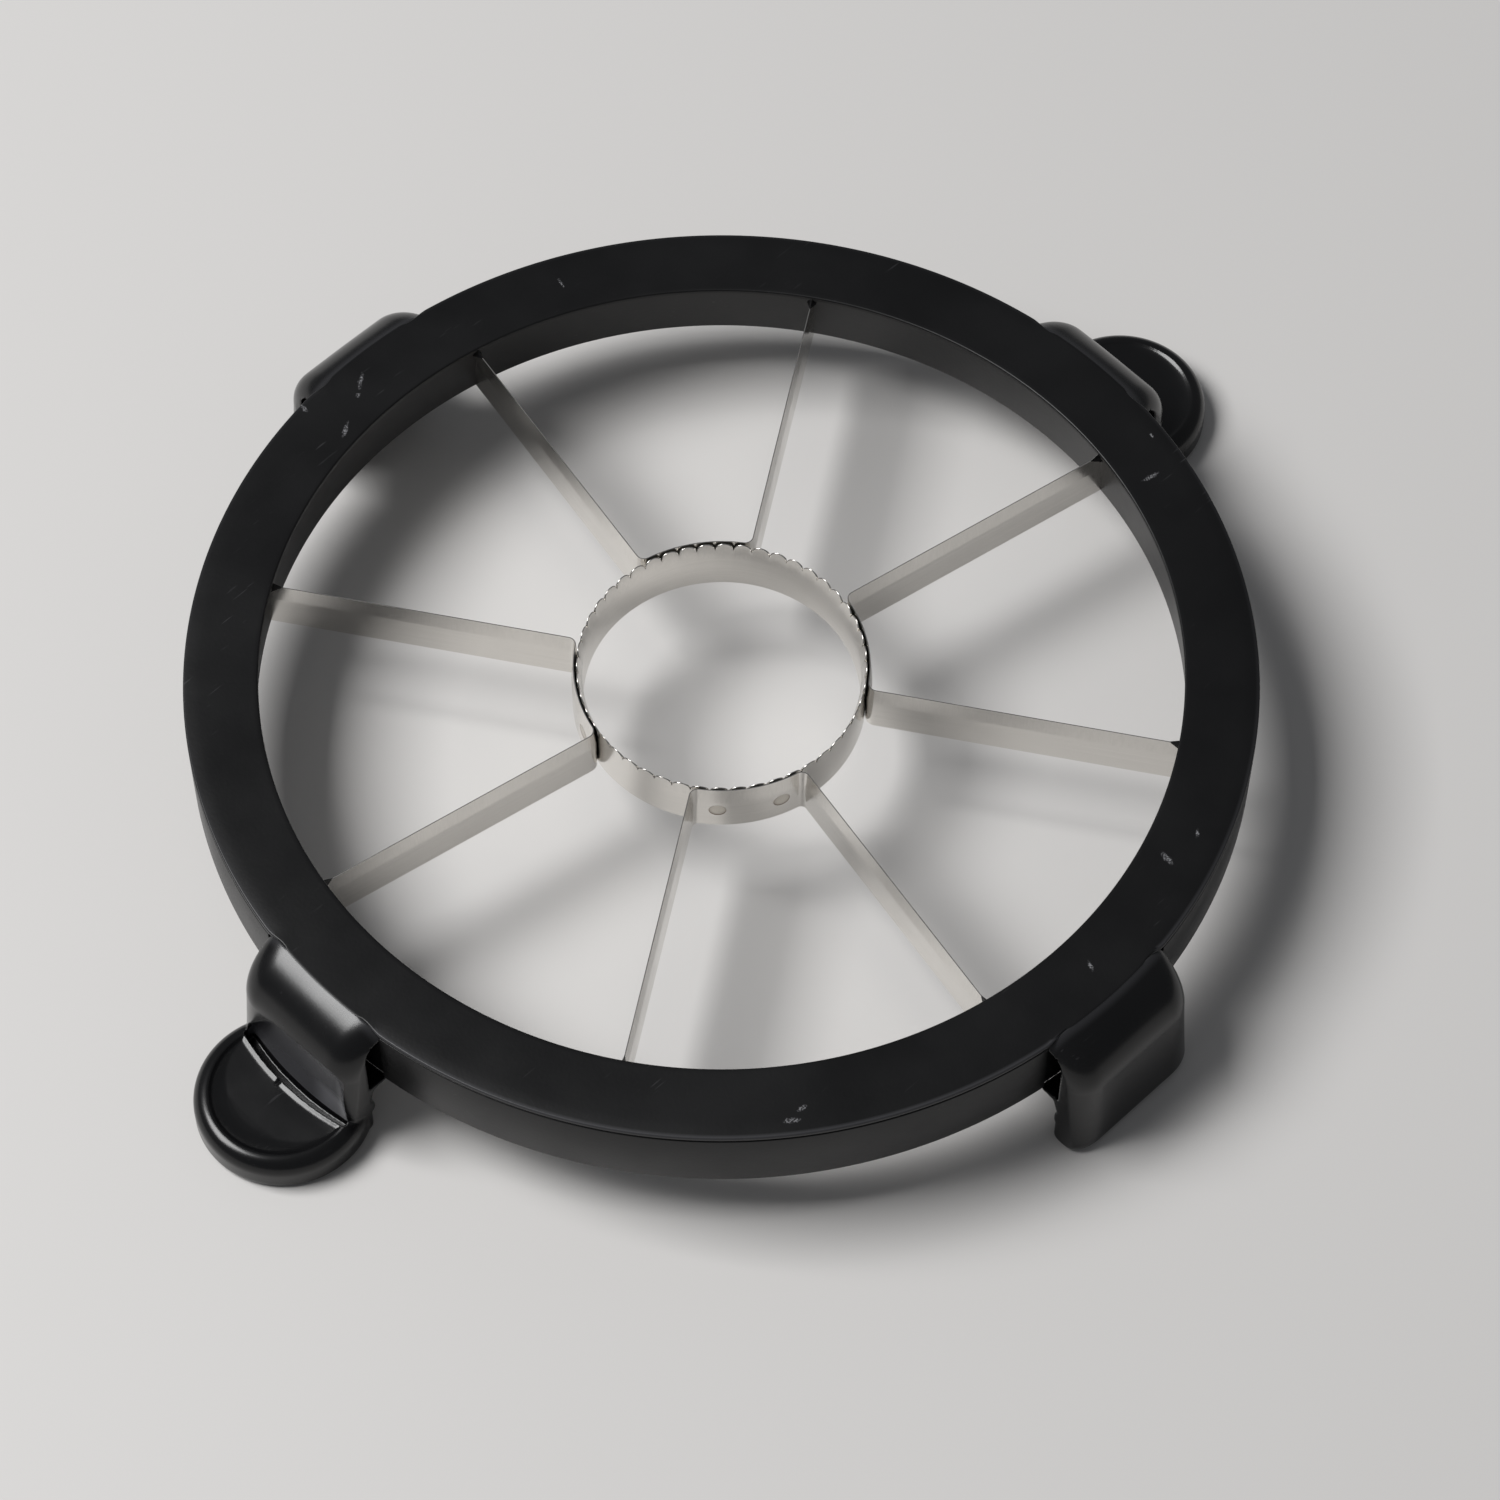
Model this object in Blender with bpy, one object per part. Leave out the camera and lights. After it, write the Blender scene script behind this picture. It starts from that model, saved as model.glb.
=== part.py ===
"""Apple slicer and wedger cutting frame.

A round moulded frame holds four formed steel strips. Each strip makes two of the eight radial
blades and wraps an eighth of the serrated core ring in the middle. Four sprung arms hang from
the frame's outer edge and snap under the rim of the press: two of them end in a dished thumb
tab, and two are plain hooks. The frame stands on the feet of the arms.

Metres, +Z up. The origin is on the table, under the centre of the frame. The thumb tabs lie
along X and the plain hooks along Y.
"""

import math

import bmesh
import bpy

MM = 0.001

# Clearances and resolution
SEAT_GAP = 0.3 * MM
CUT_OVERRUN = 1.0 * MM
RING_STEPS = 80
ROUND_STEPS = 5
EDGE_STEPS = 2

# Frame: a ring body with a skirt, closed by a flat cover ring with thin edges and a deeper middle
RING_OUTER_RADIUS = 56.0 * MM
RING_WIDTH = 7.8 * MM
RING_INNER_RADIUS = RING_OUTER_RADIUS - RING_WIDTH
RING_HEIGHT = 9.0 * MM
LEG_BELOW_RING = 8.2 * MM
FRAME_TOP = LEG_BELOW_RING + RING_HEIGHT
COVER_THICKNESS = 1.6 * MM
COVER_EDGE_THICKNESS = 0.5 * MM
COVER_EDGE_RADIUS = 0.2 * MM
COVER_STEP = 1.2 * MM
COVER_LIP = 0.3 * MM
INNER_WALL_HEIGHT = 7.6 * MM
INNER_WALL_DRAFT = 0.5 * MM
INNER_WALL_ROUND = 0.5 * MM
SKIRT_WIDTH = 2.5 * MM
SKIRT_ROUND = 0.4 * MM
WELD_RIB_WIDTH = 0.9 * MM
WELD_RIB_HEIGHT = 0.8 * MM
WELD_RIB_INSET = 2.3 * MM

# Core ring: a thin band with a ground, scalloped upper edge
CORE_OUTER_RADIUS = 15.2 * MM
CORE_THICKNESS = 0.6 * MM
CORE_LOBES = 48
STEPS_PER_LOBE = 4
LOBE_DEPTH = 0.8 * MM
CORE_GRIND_HEIGHT = 1.8 * MM
EDGE_WIDTH = 0.12 * MM

# Blades: four strips, two blades on each
STRIP_COUNT = 4
BLADES_PER_STRIP = 2
BLADE_SPACING = math.radians(360.0 / (STRIP_COUNT * BLADES_PER_STRIP))
FIRST_BLADE_ANGLE = math.radians(-55.7)
BLADE_THICKNESS = 0.5 * MM
BLADE_HEIGHT = 6.4 * MM
BLADE_DROP = 0.8 * MM
BLADE_GRIND_HEIGHT = 2.1 * MM
BLADE_BEND_RADIUS = 1.3 * MM
BLADE_END_LENGTH = 4.0 * MM
BLADE_END_RISE = 0.8 * MM
WRAP_STEPS = 10

# Sprung arms: a crest that follows the ring, a flat leg, and a barb below the ring
ARM_HALF_WIDTH = 8.3 * MM
ARM_ROOT_THICKNESS = 1.5 * MM
ARM_REACH = 5.0 * MM
ARM_DRAFT = 0.5 * MM
ARM_CREST_HEIGHT = 6.0 * MM
ARM_CREASE_FALL = 0.5 * MM
ARM_CREASE_INSET = 0.35 * MM
ARM_INNER_GAP = 1.2 * MM
ARM_INNER_CREST = 3.4 * MM
ARM_SIDE_ROUND = 3.2 * MM
ARM_SIDE_SWING = math.radians(72.0)
ARM_FOOT_ROUND = 1.3 * MM
ARM_SPAN_STEPS = 6
ARM_CREST_STEPS = 9
CREST_SIDE_SHARE = 0.2
FOOT_SIDE_SHARE = 0.5
FOOT_LIFT_SHARE = 0.12
BARB_UNDER_RING = 0.7 * MM
BARB_THICKNESS = 0.6 * MM
BARB_HEIGHT = 2.4 * MM
BARB_SHELF_SHARE = 0.3
NUB_REACH = 0.5 * MM
NUB_HEIGHT = 1.8 * MM
NUB_BELOW_RING = 3.0 * MM
POCKET_DEPTH = 0.4 * MM

# Thumb tab at the foot of the two release arms
TAB_RADIUS = 8.6 * MM
TAB_CENTRE_FROM_RING = 6.9 * MM
TAB_THICKNESS = 4.1 * MM
TAB_FOOT_GAP = 0.15 * MM
TAB_TOP_ROUND = 0.9 * MM
TAB_FOOT_ROUND = 0.5 * MM
TAB_RIM_WIDTH = 1.1 * MM
TAB_DISH_DEPTH = 1.1 * MM
TAB_DISH_DRAFT = 0.15 * MM
TAB_ROOT_OVERLAP = 2.4 * MM
TAB_STEPS = 26
RIDGE_WIDTH = 0.4 * MM
RIDGE_FROM_LEG = 0.9 * MM
RIDGE_BOW_RADIUS = 28.0 * MM
SCOOP_DEPTH = 1.5 * MM
SCOOP_HALF_WIDTH = 7.7 * MM
SCOOP_RISE = 7.9 * MM
SCOOP_CEILING_FALL = 1.2 * MM
SCOOP_FLOOR_DEPTH = 1.4 * MM
SCOOP_ROUND = 0.35 * MM
SCOOP_STEPS = 16
SCOOP_SHOULDER_POWER = 3.0
# How far down the dish, and how far in from its rim, each of its rings lies
DISH_LEVEL_SHARES = ((0.0, 0.0), (0.16, 0.03), (0.42, 0.12), (0.72, 0.3), (0.93, 0.54), (1.0, 0.78))

RELEASE_ARMS = (("latch_arm_right", 0.0), ("latch_arm_left", 180.0))
HOOK_ARMS = (("hook_arm_rear", 90.0), ("hook_arm_front", -90.0))


def clear_scene():
    """Start from an empty scene."""
    for old in list(bpy.data.objects):
        bpy.data.objects.remove(old, do_unlink=True)


def make_material(name, colour, roughness, metallic):
    """A plain material with one colour, roughness and metallic value."""
    material = bpy.data.materials.new(name)
    material.use_nodes = True
    shader = material.node_tree.nodes["Principled BSDF"]
    shader.inputs["Base Color"].default_value = (*colour, 1.0)
    shader.inputs["Roughness"].default_value = roughness
    shader.inputs["Metallic"].default_value = metallic
    return material


def arc(centre, radii, start, end, steps):
    """Points of an elliptical arc in a plane, from one angle in degrees to another."""
    points = []
    for step in range(steps + 1):
        angle = math.radians(start + (end - start) * step / steps)
        points.append((centre[0] + radii[0] * math.cos(angle), centre[1] + radii[1] * math.sin(angle)))
    return points


def loft(name, sections, material, closed=False):
    """One object skinned over a row of sections that have the same number of points."""
    mesh = bmesh.new()
    rows = [[mesh.verts.new(point) for point in section] for section in sections]
    count = len(rows[0])
    pairs = list(zip(rows, rows[1:]))
    if closed:
        pairs.append((rows[-1], rows[0]))
    for row, following in pairs:
        for i in range(count):
            j = (i + 1) % count
            mesh.faces.new((row[i], row[j], following[j], following[i]))
    if not closed:
        mesh.faces.new(rows[0])
        mesh.faces.new(list(reversed(rows[-1])))
    bmesh.ops.recalc_face_normals(mesh, faces=mesh.faces)
    data = bpy.data.meshes.new(name)
    mesh.to_mesh(data)
    mesh.free()
    data.shade_smooth()
    data.set_sharp_from_angle(angle=math.radians(35.0))
    data.materials.append(material)
    piece = bpy.data.objects.new(name, data)
    bpy.context.scene.collection.objects.link(piece)
    return piece


def turned(profile, angles):
    """Sections of a profile of (radius, height) points, turned about Z to each angle."""
    return [[(r * math.cos(a), r * math.sin(a), z) for r, z in profile] for a in angles]


def full_turn(steps):
    """Evenly spaced angles of one turn."""
    return [2.0 * math.pi * step / steps for step in range(steps)]


def spread(half, steps):
    """Evenly spaced values on both sides of zero."""
    return [half * (2.0 * step / steps - 1.0) for step in range(steps + 1)]


def combine(piece, tool, operation):
    """Cut a tool out of a piece, or add it, and keep the tool as a guide."""
    tool.hide_render = True
    tool.display_type = "WIRE"
    modifier = piece.modifiers.new(tool.name, "BOOLEAN")
    modifier.operation = operation
    modifier.solver = "EXACT"
    modifier.object = tool


def weld_rib_radius():
    """Middle radius of the cover's weld rib and of the groove that takes it."""
    return RING_OUTER_RADIUS - WELD_RIB_INSET


def body_top():
    """Height of the ring body's recessed face, under the deep middle of the cover."""
    return FRAME_TOP - COVER_THICKNESS - SEAT_GAP


def wall_top():
    """Height of the ring body's two walls, under the thin edges of the cover."""
    return FRAME_TOP - COVER_EDGE_THICKNESS - SEAT_GAP


def blade_end_radius():
    """How far out the blade ends reach into the ring body."""
    return RING_INNER_RADIUS + BLADE_END_LENGTH


def ring_cover(material):
    """Flat cover ring with thin, rounded edges, a deeper middle and a weld rib below."""
    under = FRAME_TOP - COVER_THICKNESS
    edge_under = FRAME_TOP - COVER_EDGE_THICKNESS
    half_rib = WELD_RIB_WIDTH / 2.0
    edge = COVER_EDGE_RADIUS
    inner = arc((RING_INNER_RADIUS + edge, FRAME_TOP - edge), (edge, edge), 180.0, 90.0, EDGE_STEPS)
    outer = arc((RING_OUTER_RADIUS - edge, FRAME_TOP - edge), (edge, edge), 90.0, 0.0, EDGE_STEPS)
    profile = [(RING_INNER_RADIUS, edge_under), *inner, *outer, (RING_OUTER_RADIUS, edge_under)]
    profile.append((RING_OUTER_RADIUS - COVER_STEP, edge_under))
    profile.append((RING_OUTER_RADIUS - COVER_STEP, under))
    profile.append((weld_rib_radius() + half_rib, under))
    profile.append((weld_rib_radius() + half_rib, under - WELD_RIB_HEIGHT))
    profile.append((weld_rib_radius() - half_rib, under - WELD_RIB_HEIGHT))
    profile.append((weld_rib_radius() - half_rib, under))
    profile.append((RING_INNER_RADIUS + COVER_STEP, under))
    profile.append((RING_INNER_RADIUS + COVER_STEP, edge_under))
    return loft("ring_cover", turned(profile, full_turn(RING_STEPS)), material, closed=True)


def ring_body(material):
    """Ring body with two walls round a recess, a seat below, a skirt and a groove for the rib."""
    top = body_top()
    recess_inner = RING_INNER_RADIUS + COVER_STEP - SEAT_GAP
    recess_outer = RING_OUTER_RADIUS - COVER_STEP + SEAT_GAP
    seat = FRAME_TOP - INNER_WALL_HEIGHT
    inner = RING_INNER_RADIUS + COVER_LIP
    wall_foot = inner + INNER_WALL_DRAFT
    skirt_inner = RING_OUTER_RADIUS - SKIRT_WIDTH
    groove_half = WELD_RIB_WIDTH / 2.0 + SEAT_GAP
    groove_floor = top - WELD_RIB_HEIGHT
    round_in = INNER_WALL_ROUND
    round_out = SKIRT_ROUND
    profile = [(inner, wall_top())]
    profile += arc((wall_foot + round_in, seat + round_in), (round_in, round_in), 180.0, 270.0, EDGE_STEPS)
    profile.append((skirt_inner, seat))
    for middle, start in ((skirt_inner + round_out, 180.0), (RING_OUTER_RADIUS - round_out, 270.0)):
        foot = (middle, LEG_BELOW_RING + round_out)
        profile += arc(foot, (round_out, round_out), start, start + 90.0, EDGE_STEPS)
    profile.append((RING_OUTER_RADIUS, wall_top()))
    profile.append((recess_outer, wall_top()))
    profile.append((recess_outer, top))
    profile.append((weld_rib_radius() + groove_half, top))
    profile.append((weld_rib_radius() + groove_half, groove_floor))
    profile.append((weld_rib_radius() - groove_half, groove_floor))
    profile.append((weld_rib_radius() - groove_half, top))
    profile.append((recess_inner, top))
    profile.append((recess_inner, wall_top()))
    body = loft("ring_body", turned(profile, full_turn(RING_STEPS)), material, closed=True)
    for number in range(STRIP_COUNT * BLADES_PER_STRIP):
        angle = FIRST_BLADE_ANGLE + number * BLADE_SPACING
        combine(body, blade_slot(number, angle, material), "DIFFERENCE")
    for name, degrees in RELEASE_ARMS + HOOK_ARMS:
        combine(body, arm_pocket(name, math.radians(degrees), material), "DIFFERENCE")
    return body


def blade_slot(number, angle, material):
    """Cutter for the slot in the ring body that takes one blade end from above."""
    half = BLADE_THICKNESS / 2.0 + SEAT_GAP
    floor = blade_end_bottom() - SEAT_GAP
    ceiling = wall_top() + CUT_OVERRUN
    outline = [(-half, floor), (half, floor), (half, ceiling), (-half, ceiling)]
    sections = []
    for reach in (RING_INNER_RADIUS - CUT_OVERRUN, blade_end_radius() + SEAT_GAP):
        sections.append([place_along(angle, reach, side, z) for side, z in outline])
    return loft("slot_cutter_%d" % number, sections, material)


def arm_pocket(name, angle, material):
    """Cutter for the shallow recess in the ring wall behind one arm."""
    half_angle = math.asin((ARM_HALF_WIDTH + SEAT_GAP) / RING_OUTER_RADIUS)
    inner = RING_OUTER_RADIUS - POCKET_DEPTH
    outer = RING_OUTER_RADIUS + CUT_OVERRUN
    low = LEG_BELOW_RING - CUT_OVERRUN
    high = wall_top() + CUT_OVERRUN
    profile = [(inner, low), (outer, low), (outer, high), (inner, high)]
    angles = [angle + turn for turn in spread(half_angle, 8)]
    return loft("pocket_" + name, turned(profile, angles), material)


def place_along(angle, reach, side, z):
    """A point at a reach along a radial direction, a step to its left and a height."""
    x = reach * math.cos(angle) - side * math.sin(angle)
    y = reach * math.sin(angle) + side * math.cos(angle)
    return (x, y, z)


def blade_top():
    """Height of the cutting edges."""
    return FRAME_TOP - BLADE_DROP


def blade_bottom():
    """Height of the lower edges of the strips and of the core ring."""
    return blade_top() - BLADE_HEIGHT


def blade_end_bottom():
    """Height of the lower edge of a blade end inside the ring body."""
    return blade_bottom() + BLADE_END_RISE


def core_ring(material):
    """Band with a scalloped upper edge, ground thin on its inner side."""
    inner = CORE_OUTER_RADIUS - CORE_THICKNESS
    grind_foot = blade_top() - CORE_GRIND_HEIGHT
    slope = (CORE_THICKNESS - EDGE_WIDTH) / CORE_GRIND_HEIGHT
    steps = CORE_LOBES * STEPS_PER_LOBE
    sections = []
    for step, angle in enumerate(full_turn(steps)):
        across = 2.0 * (step % STEPS_PER_LOBE) / STEPS_PER_LOBE - 1.0
        top = blade_top() - LOBE_DEPTH * (1.0 - math.sqrt(1.0 - across * across))
        edge = inner + (top - grind_foot) * slope
        profile = [(inner, blade_bottom()), (CORE_OUTER_RADIUS, blade_bottom()), (CORE_OUTER_RADIUS, top)]
        profile += [(edge, top), (inner, grind_foot)]
        sections += turned(profile, [angle])
    return loft("core_ring", sections, material, closed=True)


def strip_path(first_angle):
    """Plan of one strip as (x, y, direction, end): blade, bend, wrap round the core, bend, blade.

    The direction is the heading in radians. End is 0 in the open, 1 where the strip goes through
    the ring's inner wall, and 2 inside the ring.
    """
    wrap = CORE_OUTER_RADIUS + SEAT_GAP + BLADE_THICKNESS / 2.0
    bend_centre = wrap + BLADE_BEND_RADIUS
    turn = math.asin(BLADE_BEND_RADIUS / bend_centre)
    straight = bend_centre * math.cos(turn)
    recess = RING_INNER_RADIUS + COVER_STEP - SEAT_GAP
    wall = RING_INNER_RADIUS + COVER_LIP
    half = [(reach, 0.0, math.pi, 2) for reach in (blade_end_radius(), recess)]
    half.append((wall, 0.0, math.pi, 1))
    half += [(reach, 0.0, math.pi, 0) for reach in (RING_INNER_RADIUS - SEAT_GAP, straight)]
    centre_x = bend_centre * math.cos(turn)
    centre_y = bend_centre * math.sin(turn)
    for step in range(1, ROUND_STEPS + 1):
        swing = (math.pi / 2.0 - turn) * step / ROUND_STEPS
        x = centre_x - BLADE_BEND_RADIUS * math.sin(swing)
        y = centre_y - BLADE_BEND_RADIUS * math.cos(swing)
        half.append((x, y, math.pi - swing, 0))
    path = [turn_point(point, first_angle) for point in half]
    for step in range(1, WRAP_STEPS):
        angle = first_angle + turn + (BLADE_SPACING - 2.0 * turn) * step / WRAP_STEPS
        path.append((wrap * math.cos(angle), wrap * math.sin(angle), angle + math.pi / 2.0, 0))
    for x, y, heading, end in reversed(half):
        mirrored = (x, -y, math.pi - heading, end)
        path.append(turn_point(mirrored, first_angle + BLADE_SPACING))
    return path


def turn_point(point, angle):
    """A point of the path turned about Z."""
    x, y, heading, end = point
    turned_x = x * math.cos(angle) - y * math.sin(angle)
    turned_y = x * math.sin(angle) + y * math.cos(angle)
    return (turned_x, turned_y, heading + angle, end)


def blade_strip(number, material):
    """One strip swept along its plan, with a ground upper edge and lower, set-back ends."""
    first_angle = FIRST_BLADE_ANGLE + number * BLADES_PER_STRIP * BLADE_SPACING
    half = BLADE_THICKNESS / 2.0
    tip = EDGE_WIDTH / 2.0
    grind = blade_top() - BLADE_GRIND_HEIGHT
    working = [(-half, blade_bottom()), (half, blade_bottom()), (half, grind), (tip, blade_top())]
    working += [(-tip, blade_top()), (-half, grind)]
    neck = [(-half, blade_end_bottom()), (half, blade_end_bottom()), *working[2:]]
    end_top = body_top() - SEAT_GAP
    end_low = end_top - tip
    ending = [(-half, blade_end_bottom()), (half, blade_end_bottom()), (half, end_low), (tip, end_top)]
    ending += [(-tip, end_top), (-half, end_low)]
    outlines = (working, neck, ending)
    sections = []
    for x, y, heading, end in strip_path(first_angle):
        side_x = -math.sin(heading)
        side_y = math.cos(heading)
        sections.append([(x + side * side_x, y + side * side_y, z) for side, z in outlines[end]])
    return loft("blade_strip_%d" % (number + 1), sections, material)


def arm_section(across, side_share, nub):
    """Outline of an arm at a distance across it, with the share of its side rounding there."""
    setback = ARM_SIDE_ROUND * side_share
    root = root_reach(across)
    face = leg_face()
    inner = RING_OUTER_RADIUS + ARM_INNER_GAP
    foot = setback * FOOT_LIFT_SHARE
    bend = ARM_FOOT_ROUND
    points = []
    middle, reach, rise, start = crest_ellipse(across)
    for step in range(ARM_CREST_STEPS + 1):
        angle = start + (math.pi / 2.0 - start) * step / ARM_CREST_STEPS
        sink = setback * (CREST_SIDE_SHARE + (1.0 - CREST_SIDE_SHARE) * math.sin(angle))
        x = middle + (reach - sink * math.sin(angle)) * math.sin(angle)
        z = FRAME_TOP - ARM_CREST_HEIGHT + (rise - sink) * math.cos(angle)
        points.append((x, z))
    outer_foot = (face - setback * FOOT_SIDE_SHARE - bend, foot + bend)
    points += arc(outer_foot, (bend, bend), 0.0, -90.0, ROUND_STEPS)
    inner_foot = (inner + bend / 2.0, foot + bend)
    points += arc(inner_foot, (bend / 2.0, bend), -90.0, -180.0, EDGE_STEPS)
    nub_middle = LEG_BELOW_RING - NUB_BELOW_RING - NUB_HEIGHT / 2.0
    for rise, reach in ((-NUB_HEIGHT / 2.0, 0.0), (-NUB_HEIGHT / 4.0, nub), (NUB_HEIGHT / 4.0, nub)):
        points.append((inner - reach, nub_middle + rise))
    barb_top = LEG_BELOW_RING - SEAT_GAP
    barb_tip = root - SEAT_GAP - BARB_UNDER_RING
    barb_neck = inner + (barb_tip - inner) * BARB_SHELF_SHARE
    points.append((inner, barb_top - BARB_HEIGHT))
    points.append((barb_neck, barb_top - BARB_THICKNESS))
    points.append((barb_tip, barb_top - BARB_THICKNESS / 2.0))
    points.append((barb_tip, barb_top))
    points.append((inner, barb_top))
    inner_crest = (root, FRAME_TOP - ARM_INNER_CREST)
    crest_radii = (inner - root, ARM_INNER_CREST - ARM_ROOT_THICKNESS)
    points += arc(inner_crest, crest_radii, 0.0, 90.0, ROUND_STEPS)
    return [(x, across, z) for x, z in points]


def crest_ellipse(across):
    """Middle, reach, rise and starting angle of the curve of an arm's crest.

    The curve meets the frame's top in a crease just inside the ring's outer edge, already falling.
    """
    leg_top = leg_face() - ARM_DRAFT
    rise = ARM_CREST_HEIGHT + ARM_CREASE_FALL
    crease = math.sqrt((RING_OUTER_RADIUS - ARM_CREASE_INSET) ** 2 - across ** 2)
    crease_angle = math.acos(ARM_CREST_HEIGHT / rise)
    reach = (leg_top - crease) / (1.0 - math.sin(crease_angle))
    middle = leg_top - reach
    return middle, reach, rise, math.asin((root_reach(across) - middle) / reach)


def root_reach(across):
    """How far out an arm starts, at a distance across it, just clear of the ring."""
    return math.sqrt((RING_OUTER_RADIUS + SEAT_GAP) ** 2 - across ** 2)


def leg_face():
    """How far out the flat outer face of an arm's leg lies."""
    return RING_OUTER_RADIUS + ARM_REACH


def arm_stations():
    """Distances across an arm, each with the share of its side rounding."""
    flat = ARM_HALF_WIDTH - ARM_SIDE_ROUND * math.sin(ARM_SIDE_SWING)
    right = []
    for step in range(1, ROUND_STEPS + 1):
        swing = ARM_SIDE_SWING * step / ROUND_STEPS
        right.append((flat + ARM_SIDE_ROUND * math.sin(swing), 1.0 - math.cos(swing)))
    left = [(-across, share) for across, share in reversed(right)]
    return left + [(across, 0.0) for across in spread(flat, ARM_SPAN_STEPS)] + right


def hinge_point():
    """Radius and height of the line about which an arm flexes, in the middle of its root."""
    return (RING_OUTER_RADIUS + SEAT_GAP / 2.0, FRAME_TOP - ARM_ROOT_THICKNESS / 2.0)


def from_hinge(point):
    """A point of an arm, modelled along +X of the frame, measured from the arm's hinge line."""
    radius, height = hinge_point()
    return (point[0] - radius, point[1], point[2] - height)


def place_on_hinge(piece, degrees):
    """Put the origin of an arm, or of one of its tools, on the arm's hinge line."""
    radius, height = hinge_point()
    angle = math.radians(degrees)
    piece.location = (radius * math.cos(angle), radius * math.sin(angle), height)
    piece.rotation_euler = (0.0, 0.0, angle)


def plain_arm(name, degrees, nub, material):
    """A snap arm: crest, leg, inward barb, nub and rounded foot."""
    sections = []
    for across, share in arm_stations():
        sections.append([from_hinge(point) for point in arm_section(across, share, nub)])
    arm = loft(name, sections, material)
    place_on_hinge(arm, degrees)
    return arm


def bow_reach(middle, across):
    """How far out a line lies that bows outward like the ridge of the tab."""
    return middle - RIDGE_BOW_RADIUS + math.sqrt(RIDGE_BOW_RADIUS ** 2 - across ** 2)


def tab_outline(radius, inner_middle, z):
    """Plan of the tab: its own circle, closed towards the leg by an arc that bows outward."""
    centre = RING_OUTER_RADIUS + TAB_CENTRE_FROM_RING
    bow = inner_middle - RIDGE_BOW_RADIUS
    power = centre ** 2 - bow ** 2 + RIDGE_BOW_RADIUS ** 2 - radius ** 2
    cross_x = power / (2.0 * (centre - bow))
    cross_y = math.sqrt(radius ** 2 - (cross_x - centre) ** 2)
    sweep = math.atan2(cross_y, cross_x - centre)
    points = []
    for angle in spread(sweep, TAB_STEPS):
        points.append((centre + radius * math.cos(angle), radius * math.sin(angle), z))
    for across in list(reversed(spread(cross_y, SCOOP_STEPS)))[1:-1]:
        points.append((bow_reach(inner_middle, across), across, z))
    return [from_hinge(point) for point in points]


def tab_top():
    """Height of the rim of the thumb tab."""
    return TAB_FOOT_GAP + TAB_THICKNESS


def tab_plate(name, material):
    """Solid plate of the thumb tab, with rounded edges."""
    root = leg_face() - TAB_ROOT_OVERLAP
    levels = []
    for step in range(EDGE_STEPS + 1):
        swing = math.radians(90.0 * step / EDGE_STEPS)
        levels.append((TAB_FOOT_ROUND * (1.0 - math.sin(swing)), TAB_FOOT_ROUND * (1.0 - math.cos(swing))))
    for step in range(ROUND_STEPS + 1):
        swing = math.radians(90.0 * step / ROUND_STEPS)
        rise = TAB_THICKNESS - TAB_TOP_ROUND * (1.0 - math.sin(swing))
        levels.append((TAB_TOP_ROUND * (1.0 - math.cos(swing)), rise))
    sections = [tab_outline(TAB_RADIUS - inset, root, TAB_FOOT_GAP + rise) for inset, rise in levels]
    return loft("plate_" + name, sections, material)


def tab_dish(name, material):
    """Cutter for the dish outside the ridge of the tab."""
    rim = TAB_RADIUS - TAB_RIM_WIDTH
    ridge = leg_face() + RIDGE_FROM_LEG + RIDGE_WIDTH / 2.0
    sections = [tab_outline(rim, ridge, tab_top() + CUT_OVERRUN)]
    for depth_share, inset_share in DISH_LEVEL_SHARES:
        near = ridge + TAB_DISH_DRAFT * depth_share
        level = tab_top() - TAB_DISH_DEPTH * depth_share
        sections.append(tab_outline(rim * (1.0 - inset_share), near, level))
    return loft("dish_" + name, sections, material)


def tab_scoop(name, material):
    """Cutter for the arched scoop in the leg and the trough between the leg and the ridge."""
    inner = leg_face() - SCOOP_DEPTH
    floor = tab_top() - SCOOP_FLOOR_DEPTH
    shoulder = tab_top() + SCOOP_ROUND
    clear = leg_face() + CUT_OVERRUN
    sections = []
    for across in spread(SCOOP_HALF_WIDTH, SCOOP_STEPS):
        share = abs(across) / SCOOP_HALF_WIDTH
        height_share = (1.0 - share ** SCOOP_SHOULDER_POWER) ** (1.0 / SCOOP_SHOULDER_POWER)
        arch = tab_top() + SCOOP_RISE * height_share
        outer = bow_reach(leg_face() + RIDGE_FROM_LEG - RIDGE_WIDTH / 2.0, across)
        top = max(arch, shoulder + SCOOP_ROUND)
        inner_top = max(top - SCOOP_CEILING_FALL, shoulder)
        profile = [(inner, floor + SCOOP_ROUND), (inner, inner_top), (leg_face(), top)]
        profile += [(clear, top), (clear, shoulder)]
        profile += [(outer, shoulder), (outer, floor)]
        profile.append((min(inner + SCOOP_ROUND, (inner + outer) / 2.0), floor))
        sections.append([from_hinge((x, across, z)) for x, z in profile])
    return loft("scoop_" + name, sections, material)


def release_arm(name, degrees, material):
    """A snap arm with a dished thumb tab at its foot."""
    arm = plain_arm(name, degrees, NUB_REACH, material)
    tools = ((tab_plate, "UNION"), (tab_dish, "DIFFERENCE"), (tab_scoop, "DIFFERENCE"))
    for make_tool, operation in tools:
        tool = make_tool(name, material)
        place_on_hinge(tool, degrees)
        combine(arm, tool, operation)
    return arm


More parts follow.
